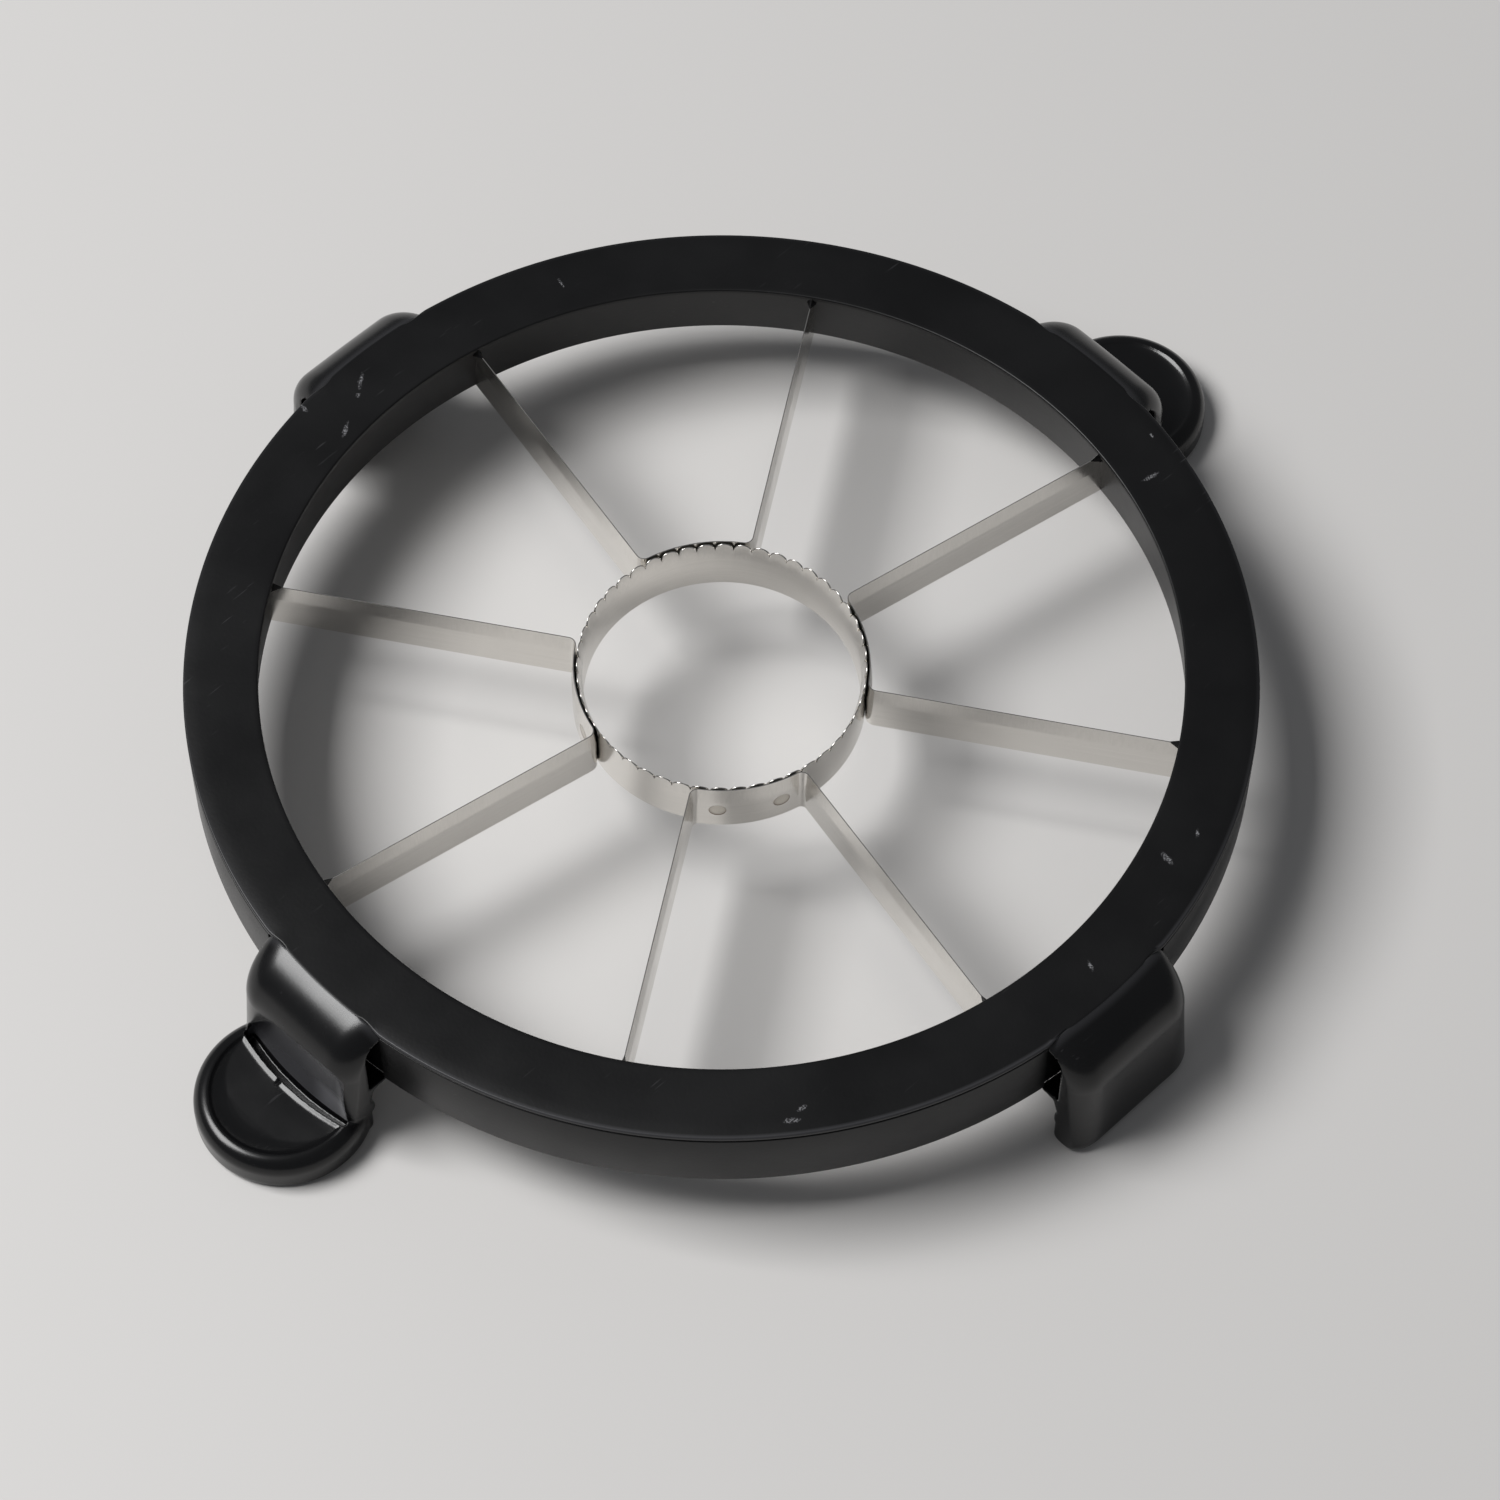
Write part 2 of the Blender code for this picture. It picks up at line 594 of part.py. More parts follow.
def build():
    """The whole cutting frame."""
    clear_scene()
    black = make_material("black_plastic", (0.012, 0.012, 0.013), 0.42, 0.0)
    steel = make_material("stainless_steel", (0.56, 0.55, 0.53), 0.28, 1.0)
    ring_body(black)
    ring_cover(black)
    core_ring(steel)
    for number in range(STRIP_COUNT):
        blade_strip(number, steel)
    for name, degrees in RELEASE_ARMS:
        release_arm(name, degrees, black)
    for name, degrees in HOOK_ARMS:
        plain_arm(name, degrees, NUB_REACH / 2.0, black)


build()
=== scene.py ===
# %% [markdown]
# # Apple slicer cutting frame: the looks
#
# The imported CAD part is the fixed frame. This lesson gives it the camera and light of the
# photograph, its real materials, and the fine forms that the CAD leaves out.

import math

import bmesh
import bpy
from mathutils import Matrix, Vector


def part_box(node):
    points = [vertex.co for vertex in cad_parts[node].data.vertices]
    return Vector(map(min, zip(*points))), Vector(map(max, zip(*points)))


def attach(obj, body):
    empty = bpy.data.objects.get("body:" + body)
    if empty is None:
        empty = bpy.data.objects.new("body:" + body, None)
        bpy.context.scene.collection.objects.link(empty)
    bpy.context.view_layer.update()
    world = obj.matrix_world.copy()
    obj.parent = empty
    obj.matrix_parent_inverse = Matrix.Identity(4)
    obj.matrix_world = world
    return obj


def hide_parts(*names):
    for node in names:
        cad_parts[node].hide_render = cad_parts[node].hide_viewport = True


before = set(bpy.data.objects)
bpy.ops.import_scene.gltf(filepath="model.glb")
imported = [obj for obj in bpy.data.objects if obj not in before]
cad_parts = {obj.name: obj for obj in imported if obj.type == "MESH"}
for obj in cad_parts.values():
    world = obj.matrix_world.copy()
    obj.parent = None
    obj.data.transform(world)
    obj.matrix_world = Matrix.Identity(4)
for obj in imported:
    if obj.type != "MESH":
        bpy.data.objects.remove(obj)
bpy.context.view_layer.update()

MM = 0.001


# %% [markdown]
# ## Small helpers
#
# Colours are picked as they look on a screen and turned into the linear values that the
# renderer works in. One helper adds any node with its settings and its links, so that every
# material reads as a list of nodes. The last skins a mesh over a row of sections: most pieces
# here change their section along their length, which a plain extrusion or a spin can't follow.

# %% Helpers
def linear(code):
    """Linear colour of a screen colour such as "#1c1c1e"."""
    values = [int(code[i:i + 2], 16) / 255.0 for i in (1, 3, 5)]
    return [v / 12.92 if v <= 0.04045 else ((v + 0.055) / 1.055) ** 2.4 for v in values] + [1.0]


def add(tree, kind, settings=None, links=None):
    """A node of one kind, with its settings, and its inputs as values or other nodes' outputs."""
    node = tree.nodes.new(kind)
    for name, value in (settings or {}).items():
        setattr(node, name, value)
    for name, value in (links or {}).items():
        if isinstance(value, bpy.types.NodeSocket):
            tree.links.new(value, node.inputs[name])
        else:
            node.inputs[name].default_value = value
    return node


def new_material(name):
    """A material with its shader."""
    material = bpy.data.materials.new(name)
    material.use_nodes = True
    return material, material.node_tree.nodes["Principled BSDF"]


def show(name, data, body, slot_name, material, *cad_nodes):
    """An object for a finished mesh, riding on its body in place of any CAD nodes that it replaces."""
    piece = bpy.data.objects.new(name, data)
    bpy.context.scene.collection.objects.link(piece)
    data.materials.clear()
    data.materials.append(material)
    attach(piece, body)
    if cad_nodes:
        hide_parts(*cad_nodes)
    return piece


def skin(name, sections, closed=False, creases=()):
    """A mesh over sections with equally many points. The lines of the points in creases stay sharp."""
    count = len(sections[0])
    rows = len(sections)
    points = [point for section in sections for point in section]
    faces = []
    for row in range(rows if closed else rows - 1):
        here = row * count
        there = (row + 1) % rows * count
        for i in range(count):
            j = (i + 1) % count
            faces.append((here + i, here + j, there + j, there + i))
    if not closed:
        faces.append(tuple(range(count)))
        faces.append(tuple(range(rows * count - 1, (rows - 1) * count - 1, -1)))
    data = bpy.data.meshes.new(name)
    data.from_pydata(points, [], faces)
    work = bmesh.new()
    work.from_mesh(data)
    bmesh.ops.recalc_face_normals(work, faces=work.faces)
    work.to_mesh(data)
    work.free()
    data.shade_smooth()
    data.set_sharp_from_angle(angle=math.radians(40.0))
    sharp = data.attributes.get("sharp_edge") or data.attributes.new("sharp_edge", "BOOLEAN", "EDGE")
    for edge in data.edges:
        a, b = edge.vertices
        if a % count == b % count and a % count in creases:
            sharp.data[edge.index].value = True
    return data


# %% [markdown]
# ## Camera
#
# The lens, height and turn were fitted to the ring, the core ring, the blades and the feet of
# the arms. The picture is square, and the camera looks down on the part from 58 degrees.

# %% Camera
VIEW_TURN = math.radians(-44.5)
VIEW_RISE = math.radians(58.0)
VIEW_ROLL = math.radians(0.43)
VIEW_POINT = Vector((-0.00560, -0.00999, 0.0172))
VIEW_DISTANCE = 0.499


def direction(side, rise):
    """Unit vector towards a place seen at an angle round from the camera and above the table."""
    flat = Vector((0.0, -math.cos(rise), math.sin(rise)))
    return Matrix.Rotation(VIEW_TURN + side, 3, "Z") @ flat


back = direction(0.0, VIEW_RISE)
level_right = Matrix.Rotation(VIEW_TURN, 3, "Z") @ Vector((1.0, 0.0, 0.0))
level_up = level_right.cross(-back)
right = math.cos(VIEW_ROLL) * level_right + math.sin(VIEW_ROLL) * level_up
up = -math.sin(VIEW_ROLL) * level_right + math.cos(VIEW_ROLL) * level_up
lens = bpy.data.cameras.new("camera")
lens.lens = 116.4
lens.sensor_width = 36.0
lens.clip_start = 0.01
camera = bpy.data.objects.new("camera", lens)
camera.matrix_world = (Matrix.Translation(VIEW_POINT + back * VIEW_DISTANCE)
                       @ Matrix((right, up, back)).transposed().to_4x4())
bpy.context.scene.collection.objects.link(camera)
bpy.context.scene.camera = camera
bpy.context.scene.view_settings.view_transform = "Standard"
print("camera at", [round(v, 3) for v in camera.matrix_world.translation])

# %% [markdown]
# ## Floor and light
#
# A pale, plain table. One large soft light stands to the left, rather high, where the
# shadows of the photograph point back to, and the room adds a weak even fill.

# %% Floor and light
FLOOR_REACH = 2.5
floor_data = bpy.data.meshes.new("table_top")
corners = [(x * FLOOR_REACH, y * FLOOR_REACH, 0.0) for x, y in ((-1, -1), (1, -1), (1, 1), (-1, 1))]
floor_data.from_pydata(corners, [], [(0, 1, 2, 3)])
table_top = bpy.data.objects.new("table_top", floor_data)
bpy.context.scene.collection.objects.link(table_top)
pale_table, table_shader = new_material("honed_pale_table")
table_shader.inputs["Base Color"].default_value = linear("#d2d0ce")
floor_data.materials.append(pale_table)


def soft_light(name, side, rise, distance, size, power):
    """A square soft light that faces the part from an angle round from the camera."""
    away = direction(math.radians(side), math.radians(rise))
    lamp = bpy.data.lights.new(name, "AREA")
    lamp.size = size
    lamp.energy = power
    holder = bpy.data.objects.new(name, lamp)
    holder.location = away * distance
    holder.rotation_euler = away.to_track_quat("Z", "Y").to_euler()
    bpy.context.scene.collection.objects.link(holder)
    return holder


soft_light("window", -92.0, 55.0, 1.2, 0.6, 15.6)
room = bpy.data.worlds.new("room")
room.use_nodes = True
room.node_tree.nodes["Background"].inputs["Color"].default_value = linear("#f2f5fa")
room.node_tree.nodes["Background"].inputs["Strength"].default_value = 0.16
bpy.context.scene.world = room


# %% [markdown]
# ## Moulded black plastic
#
# The ring and the arms are injection-moulded in black, with a fine spark-eroded texture that
# handling has partly polished. To the eye that gives the ring a broad, dull sheen and the arms a
# tighter one. Faint scratches lie in patches, and a dozen pale marks sit where the photograph shows
# them: as ovals placed in the shader they need no picture. A mesh attribute makes the plastic paler
# where hands have abraded an edge, and also paints light: a painted highlight on the lid's front
# edge and along the crease of each arm's crest, and painted light over the back wall of each scoop.

# %% Marks in the plastic
# Pale marks on top of the ring: angle in degrees, then radius, length and width in millimetres,
# then heading in degrees
RING_MARKS = ((65.7, 52.2, 1.4, 0.35, -104), (93.4, 53.0, 2.4, 0.45, -142), (95.1, 51.9, 0.6, 0.4, -154),
              (99.9, 50.0, 2.2, 0.5, -148), (-88.7, 52.0, 1.4, 0.4, -110), (-12.1, 54.3, 0.7, 0.3, -110),
              (-17.0, 51.3, 2.2, 0.5, -12), (-72.0, 51.2, 1.8, 0.65, -95), (-67.5, 52.8, 1.2, 0.4, -142),
              (-125.4, 53.2, 1.2, 0.4, -10), (-126.7, 54.4, 1.8, 0.55, -37), (100.3, 55.4, 1.4, 0.5, -93))
FRAY = 0.5 * MM
MARK_DEPTH = 0.5 * MM
# Counts in a metre: waves 0.4 mm long fray a mark's outline, and crumbs 0.17 mm wide break it up
FRAY_WAVES = 2500.0
CRUMBS = 6000.0
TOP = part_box("ring_cover")[1].z


def mark_mask(tree, place, marks):
    """Strength of the pale marks at a place: frayed ovals on the top face, broken into crumbs."""
    fray = add(tree, "ShaderNodeTexNoise", links={"Vector": place, "Scale": FRAY_WAVES, "Detail": 2.0})
    shifted = add(tree, "ShaderNodeVectorMath", {"operation": "MULTIPLY_ADD"},
                  {0: fray.outputs["Color"], 1: (FRAY, FRAY, 0.0), 2: place}).outputs[0]
    mask = 0.0
    for degrees, radius, length, width, heading in marks:
        turn = math.radians(degrees)
        x = radius * MM * math.cos(turn) + FRAY / 2.0
        y = radius * MM * math.sin(turn) + FRAY / 2.0
        size = (length / 2.0 * MM, width / 2.0 * MM, MARK_DEPTH)
        local = add(tree, "ShaderNodeMapping", {"vector_type": "TEXTURE"},
                    {"Vector": shifted, "Location": (x, y, TOP), "Scale": size,
                     "Rotation": (0.0, 0.0, math.radians(heading))})
        far = add(tree, "ShaderNodeVectorMath", {"operation": "LENGTH"}, {0: local.outputs[0]})
        spot = add(tree, "ShaderNodeMapRange",
                   links={0: far.outputs["Value"], 1: 0.5, 2: 1.1, 3: 1.0, 4: 0.0})
        mask = add(tree, "ShaderNodeMath", {"operation": "MAXIMUM"},
                   {0: mask, 1: spot.outputs[0]}).outputs[0]
    crumbs = add(tree, "ShaderNodeTexNoise", links={"Vector": place, "Scale": CRUMBS, "Detail": 1.0})
    broken = add(tree, "ShaderNodeMapRange",
                 links={0: crumbs.outputs["Fac"], 1: 0.42, 2: 0.62, 3: 0.05, 4: 0.75})
    return add(tree, "ShaderNodeMath", {"operation": "MULTIPLY"},
               {0: mask, 1: broken.outputs[0]}).outputs[0]


# %% Black plastic
# Counts in a metre: soft clouds 11 mm wide, scratches 0.3 mm wide and 4.5 mm long in patches of
# 7 mm, and a grain of 0.4 mm. The real grain is near 0.1 mm, too fine to show, so it is coarser here.
CLOUDS = 90.0
SCRATCH_TURN = (0.0, 0.0, 0.6)
SCRATCH_SCALE = (220.0, 3200.0, 3200.0)
PATCHES = 150.0
GRAINS = 2600.0


def moulded_black(name, roughness, grain, scratches, shine, marks=()):
    """Black moulded plastic: fine grain, faint scratches, pale marks, abraded edges and painted light."""
    material, shader = new_material(name)
    tree = material.node_tree
    place = add(tree, "ShaderNodeTexCoord").outputs["Object"]
    cloud = add(tree, "ShaderNodeTexNoise", links={"Vector": place, "Scale": CLOUDS, "Detail": 4.0})
    dark = add(tree, "ShaderNodeMix", {"data_type": "RGBA"},
               {0: cloud.outputs["Fac"], 6: linear("#09090a"), 7: linear("#101011")})
    stretched = add(tree, "ShaderNodeMapping",
                    links={"Vector": place, "Rotation": SCRATCH_TURN, "Scale": SCRATCH_SCALE})
    line = add(tree, "ShaderNodeTexNoise",
               links={"Vector": stretched.outputs[0], "Scale": 1.0, "Detail": 1.0})
    thin = add(tree, "ShaderNodeMapRange",
               links={0: line.outputs["Fac"], 1: 0.68, 2: 0.74, 3: 0.0, 4: 1.0})
    patch = add(tree, "ShaderNodeTexNoise", links={"Vector": place, "Scale": PATCHES, "Detail": 2.0})
    where = add(tree, "ShaderNodeMapRange",
                links={0: patch.outputs["Fac"], 1: 0.55, 2: 0.7, 3: 0.0, 4: scratches})
    faint = add(tree, "ShaderNodeMath", {"operation": "MULTIPLY"},
                {0: thin.outputs[0], 1: where.outputs[0]})
    mask = add(tree, "ShaderNodeMath", {"operation": "MAXIMUM"},
               {0: faint.outputs[0], 1: mark_mask(tree, place, marks)})
    marked = add(tree, "ShaderNodeMix", {"data_type": "RGBA"},
                 {0: mask.outputs[0], 6: dark.outputs[2], 7: linear("#8d8d90")})
    # Paler grey from a mesh attribute: partly real abrasion of edges, partly painted highlight and
    # painted light.
    wear = add(tree, "ShaderNodeAttribute", {"attribute_name": "wear"}).outputs["Fac"]
    abraded_and_painted_light = add(tree, "ShaderNodeMix", {"data_type": "RGBA"},
                 {0: wear, 6: marked.outputs[2], 7: linear("#6e6e72")})
    tree.links.new(abraded_and_painted_light.outputs[2], shader.inputs["Base Color"])
    gloss = add(tree, "ShaderNodeMapRange",
                links={0: cloud.outputs["Fac"], 1: 0.3, 2: 0.7, 3: roughness - 0.05, 4: roughness + 0.05})
    tree.links.new(gloss.outputs[0], shader.inputs["Roughness"])
    shader.inputs["Specular IOR Level"].default_value = shine
    fine = add(tree, "ShaderNodeTexNoise", links={"Vector": place, "Scale": GRAINS, "Detail": 2.0})
    bump = add(tree, "ShaderNodeBump",
               links={"Height": fine.outputs["Fac"], "Strength": grain, "Distance": 0.02 * MM})
    tree.links.new(bump.outputs["Normal"], shader.inputs["Normal"])
    return material


ring_plastic = moulded_black("moulded_black_ring", 0.38, 0.35, 0.1, 0.3, RING_MARKS)
arm_plastic = moulded_black("moulded_black_arm", 0.23, 0.12, 0.05, 0.4)
print("plastics:", ring_plastic.name, arm_plastic.name)


# %% [markdown]
# ## Rolled and ground stainless steel
#
# The strip comes off the roll with fine lines along its length, which draw a reflection out along
# the blade. Its upper edge is ground, with coarser marks across the edge and a paler look. A picture
# could give both, but stretched noise needs none and stays fine at any distance.

# %% Stainless steel
# Counts in a metre: rolling lines 0.11 mm apart and 17 mm long, grinding marks 0.14 mm apart and
# 8 mm long, and smudges 5 mm wide. Real lines are finer, and are drawn as coarse as they need to show.
ROLLED_LINES = (60.0, 60.0, 9000.0)
GROUND_LINES = (7000.0, 7000.0, 120.0)
SMUDGES = 190.0
GRIND_BLUR = 0.03 * MM


def rolled_steel(name, grind_start):
    """Rolled stainless strip with fine lines along it and a ground band above a height."""
    material, shader = new_material(name)
    tree = material.node_tree
    shader.inputs["Metallic"].default_value = 1.0
    place = add(tree, "ShaderNodeTexCoord").outputs["Object"]
    height = add(tree, "ShaderNodeSeparateXYZ", links={0: place}).outputs["Z"]
    band = add(tree, "ShaderNodeMapRange",
               links={0: height, 1: grind_start - GRIND_BLUR, 2: grind_start, 3: 0.0, 4: 1.0})
    along = add(tree, "ShaderNodeMapping", links={"Vector": place, "Scale": ROLLED_LINES})
    rolled = add(tree, "ShaderNodeTexNoise",
                 links={"Vector": along.outputs[0], "Scale": 1.0, "Detail": 3.0})
    across = add(tree, "ShaderNodeMapping", links={"Vector": place, "Scale": GROUND_LINES})
    ground = add(tree, "ShaderNodeTexNoise",
                 links={"Vector": across.outputs[0], "Scale": 1.0, "Detail": 2.0})
    lines = add(tree, "ShaderNodeMix",
                links={0: band.outputs[0], 2: rolled.outputs["Fac"], 3: ground.outputs["Fac"]})
    tone = add(tree, "ShaderNodeMix", {"data_type": "RGBA"},
               {0: lines.outputs[0], 6: linear("#d0cdc8"), 7: linear("#e4e1dc")})
    tree.links.new(tone.outputs[2], shader.inputs["Base Color"])
    smudge = add(tree, "ShaderNodeTexNoise", links={"Vector": place, "Scale": SMUDGES, "Detail": 4.0})
    gloss = add(tree, "ShaderNodeMapRange",
                links={0: smudge.outputs["Fac"], 1: 0.3, 2: 0.7, 3: 0.16, 4: 0.27})
    tree.links.new(gloss.outputs[0], shader.inputs["Roughness"])
    bump = add(tree, "ShaderNodeBump",
               links={"Height": lines.outputs[0], "Strength": 0.25, "Distance": 0.01 * MM})
    tree.links.new(bump.outputs["Normal"], shader.inputs["Normal"])
    return material


EDGE_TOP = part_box("blade_strip_1")[1].z
BLADE_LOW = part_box("blade_strip_1")[0].z
BLADE_GRIND = 2.1 * MM
CORE_GRIND = 1.8 * MM
blade_steel = rolled_steel("rolled_stainless_blade", EDGE_TOP - BLADE_GRIND)
core_steel = rolled_steel("rolled_stainless_core", EDGE_TOP - CORE_GRIND)
print("cutting edges at", round(EDGE_TOP * 1000.0, 2), "mm")

# %% [markdown]
# ## Ring: a thin-edged lid on a deep lower ring
#
# The lid's flat top falls slightly towards its outer edge. A thin shadow line parts it from the
# lower ring, outside and inside. Where an arm springs from the ring, the lid's edge draws back
# to the crease in which the arm's crest begins, so the two are one moulding to the eye. A plain
# ring could be spun from one profile. This edge changes by each arm, so it has a profile of its own
# at every angle, and the angles lie closer together there.

# %% Ring sizes
RING_OUTER = 56.0 * MM
RING_INNER = 48.2 * MM
RING_FOOT = 8.2 * MM
LID_EDGE = 0.5 * MM
LID_ROUND = 0.2 * MM
LID_CROWN = 0.1 * MM
CROWN_WIDTH = 2.0 * MM
SEAM = 0.28 * MM
WALL_SETBACK = 0.3 * MM
SEAT_HEIGHT = TOP - 7.6 * MM
SKIRT_WIDTH = 2.5 * MM
POCKET = 0.4 * MM
# The lid's outer edge is painted paler: faintly all round as real abrasion, and with a painted highlight
# that grows towards the front edge.
PALE_EDGE_REACH = 0.3 * MM
EDGE_HIGHLIGHT_MIDDLE = math.radians(-130.0)
ARM_HALF = 8.3 * MM
ARM_ROOT = 56.3 * MM
CREASE = RING_OUTER - 0.35 * MM
BLEND_END = ARM_HALF + 0.3 * MM
BLEND_WIDTH = 2.4 * MM
LIP_END = 5.9 * MM
LIP_BLEND = 0.8 * MM
# Edge of the lid over an arm's root, in millimetres out from the crease and down from the top
LIP_SHAPE = ((0.0, 0.0), (0.06, 0.02), (0.12, 0.042), (0.12, 0.07), (0.0, 0.2), (-0.1, 0.3))
ARM_ANGLES = {"latch_arm_right": 0.0, "hook_arm_rear": 90.0,
              "latch_arm_left": 180.0, "hook_arm_front": 270.0}
SIDE_ROUND = 3.2 * MM
SIDE_SWING = math.radians(72.0)
CREST_SIDE_SHARE = 0.2


def around(profile, angle):
    """Points of a profile of (radius, height), turned about Z to one angle."""
    return [(r * math.cos(angle), r * math.sin(angle), z) for r, z in profile]


def arc(centre, radius, start, end, steps):
    """Points of a circular arc in a plane, from one angle in degrees to another."""
    turns = [math.radians(start + (end - start) * step / steps) for step in range(steps + 1)]
    return [(centre[0] + radius * math.cos(t), centre[1] + radius * math.sin(t)) for t in turns]


def ring_angles():
    """Angles round the ring, closer together where the arms begin and end."""
    half = math.asin(ARM_HALF / ARM_ROOT)
    angles = []
    for degrees in ARM_ANGLES.values():
        middle = math.radians(degrees)
        angles += [middle + half * (2.0 * step / 40 - 1.0) for step in range(41)]
        angles += [middle + half + math.radians(0.12) * step for step in range(1, 8)]
        angles += [middle - half - math.radians(0.12) * step for step in range(1, 8)]
        free = math.pi / 2.0 - 2.0 * half - math.radians(2.0)
        angles += [middle + half + math.radians(1.0) + free * step / 60 for step in range(61)]
    return sorted(angle % (2.0 * math.pi) for angle in angles)


def across_arm(angle):
    """Distance across the nearest arm of a place on the ring, without its sign."""
    turns = [angle - math.radians(degrees) + math.pi for degrees in ARM_ANGLES.values()]
    return ARM_ROOT * math.sin(min(abs(turn % (2.0 * math.pi) - math.pi) for turn in turns))


def eased(share):
    """A share kept between 0 and 1, with a soft start and end."""
    share = min(1.0, max(0.0, share))
    return share * share * (3.0 - 2.0 * share)


def lid_section(angle):
    """Profile of the lid at one angle. Where an arm begins, its outer edge draws back to the crease."""
    across = across_arm(angle)
    blend = eased((BLEND_END - across) / BLEND_WIDTH)
    lip = eased((LIP_END - across) / LIP_BLEND)
    under = TOP - LID_EDGE
    outer = RING_OUTER + (CREASE - RING_OUTER) * blend
    crown = LID_CROWN * (1.0 - blend)
    inner = arc((RING_INNER + LID_ROUND, TOP - LID_ROUND), LID_ROUND, 180.0, 90.0, 5)
    flat = [(RING_INNER + (0.6 + 0.8 * step) * MM, TOP) for step in range(7)]
    fall = []
    for step in range(1, 7):
        share = step / 6.0
        fall.append((RING_OUTER - CROWN_WIDTH + (outer - LID_ROUND - RING_OUTER + CROWN_WIDTH) * share,
                     TOP - crown * share * share))
    edge = arc((outer - LID_ROUND, TOP - crown - LID_ROUND), LID_ROUND, 84.0, 0.0, 5)
    thin = [(CREASE + out * MM, TOP - down * MM) for out, down in LIP_SHAPE]
    edge = [(a + (c - a) * lip, b + (d - b) * lip) for (a, b), (c, d) in zip(edge, thin)]
    return [(RING_INNER, under), *inner, *flat, *fall, *edge, (outer - 0.1 * MM * lip, under)]


def lower_section(angle):
    """Profile of the lower ring at one angle, a little thinner behind an arm."""
    across = across_arm(angle)
    outer = RING_OUTER - (POCKET if across < ARM_HALF + 0.1 * MM else 0.0)
    top = TOP - LID_EDGE - SEAM
    inner = RING_INNER + WALL_SETBACK
    skirt = RING_OUTER - SKIRT_WIDTH
    profile = [(inner, top)]
    profile += arc((inner + 0.9 * MM, SEAT_HEIGHT + 0.5 * MM), 0.5 * MM, 180.0, 270.0, 5)
    profile.append((skirt, SEAT_HEIGHT))
    profile += arc((skirt + 0.4 * MM, RING_FOOT + 0.4 * MM), 0.4 * MM, 180.0, 270.0, 4)
    profile += arc((outer - 0.4 * MM, RING_FOOT + 0.4 * MM), 0.4 * MM, 270.0, 360.0, 4)
    profile += arc((outer - 0.12 * MM, top - 0.12 * MM), 0.12 * MM, 0.0, 90.0, 3)
    return profile


# %% Ring pieces
lid = skin("ring_lid", [around(lid_section(a), a) for a in ring_angles()], closed=True)
# Painted highlight on the lid's outer edge over faint real abrasion: 0.04 all round, rising to 0.2 at the
# front edge, towards the camera.
pale_lid_edge = lid.attributes.new("wear", "FLOAT", "POINT")
for vertex in lid.vertices:
    x, y, z = vertex.co
    from_edge = RING_OUTER - math.hypot(x, y)
    on_edge = from_edge < PALE_EDGE_REACH and 0.04 * MM < TOP - z < 0.45 * MM
    if on_edge:
        pale_lid_edge.data[vertex.index].value = 0.04 + 0.16 * eased(math.cos(math.atan2(y, x) - EDGE_HIGHLIGHT_MIDDLE))
show("ring_lid", lid, "frame", "cover_plastic", ring_plastic, "ring_cover")
lower = skin("lower_ring", [around(lower_section(a), a) for a in ring_angles()], closed=True)
show("lower_ring", lower, "frame", "body_plastic", ring_plastic, "ring_body")
print("ring triangles:", 2 * len(lid.polygons) + 2 * len(lower.polygons))

# %% [markdown]
# ## Sprung arms
#
# The arms are moulded in one with the ring. Each comes off the lid in a crisp crease, rounds
# over into a flat leg and ends in a foot. Inside sits a barb that snaps under the rim of the
# press. An outline could be extruded and bevelled, but the bevel would cut into the crease. So the
# arm is skinned over sections across it, closer together and smaller where its sides round off.

# %% Arm sizes
LEG_FACE = 61.0 * MM
LEG_TOP = 60.5 * MM
CREST_HEIGHT = 6.0 * MM
CREASE_FALL = 0.5 * MM
ROOT_REACH = CREASE + 0.07 * MM
ROOT_SINK = 0.012 * MM
ROOT_UNDER_LIP = 0.25 * MM
ROOT_THICKNESS = 1.5 * MM
LEG_INNER = 57.2 * MM
INNER_CREST = 3.4 * MM
FOOT_ROUND = 1.3 * MM
FOOT_SIDE_SHARE = 0.5
FOOT_LIFT_SHARE = 0.12
BARB_TOP = 7.9 * MM
BARB_HEIGHT = 2.4 * MM
BARB_THICKNESS = 0.6 * MM
BARB_TIP = 55.3 * MM
NUB_MIDDLE = 4.3 * MM
NUB_HEIGHT = 1.8 * MM


def crest_line(across, share):
    """Curve of an arm's crest, from the crease on the lid to the top of the leg."""
    setback = SIDE_ROUND * share
    crease = math.sqrt(CREASE ** 2 - across ** 2)
    start = math.sqrt(ROOT_REACH ** 2 - across ** 2)
    rise = CREST_HEIGHT + CREASE_FALL
    begin = math.acos(CREST_HEIGHT / rise)
    reach = (LEG_TOP - crease) / (1.0 - math.sin(begin))
    middle = LEG_TOP - reach
    begin = math.asin((start - middle) / reach)
    points = []
    for step in range(29):
        angle = begin + (math.pi / 2.0 - begin) * step / 28
        sink = setback * (CREST_SIDE_SHARE + (1.0 - CREST_SIDE_SHARE) * math.sin(angle))
        x = middle + (reach - sink * math.sin(angle)) * math.sin(angle)
        points.append((max(x, start), TOP - CREST_HEIGHT + (rise - sink) * math.cos(angle) - ROOT_SINK))
    return [(start - ROOT_UNDER_LIP, points[0][1]), *points]


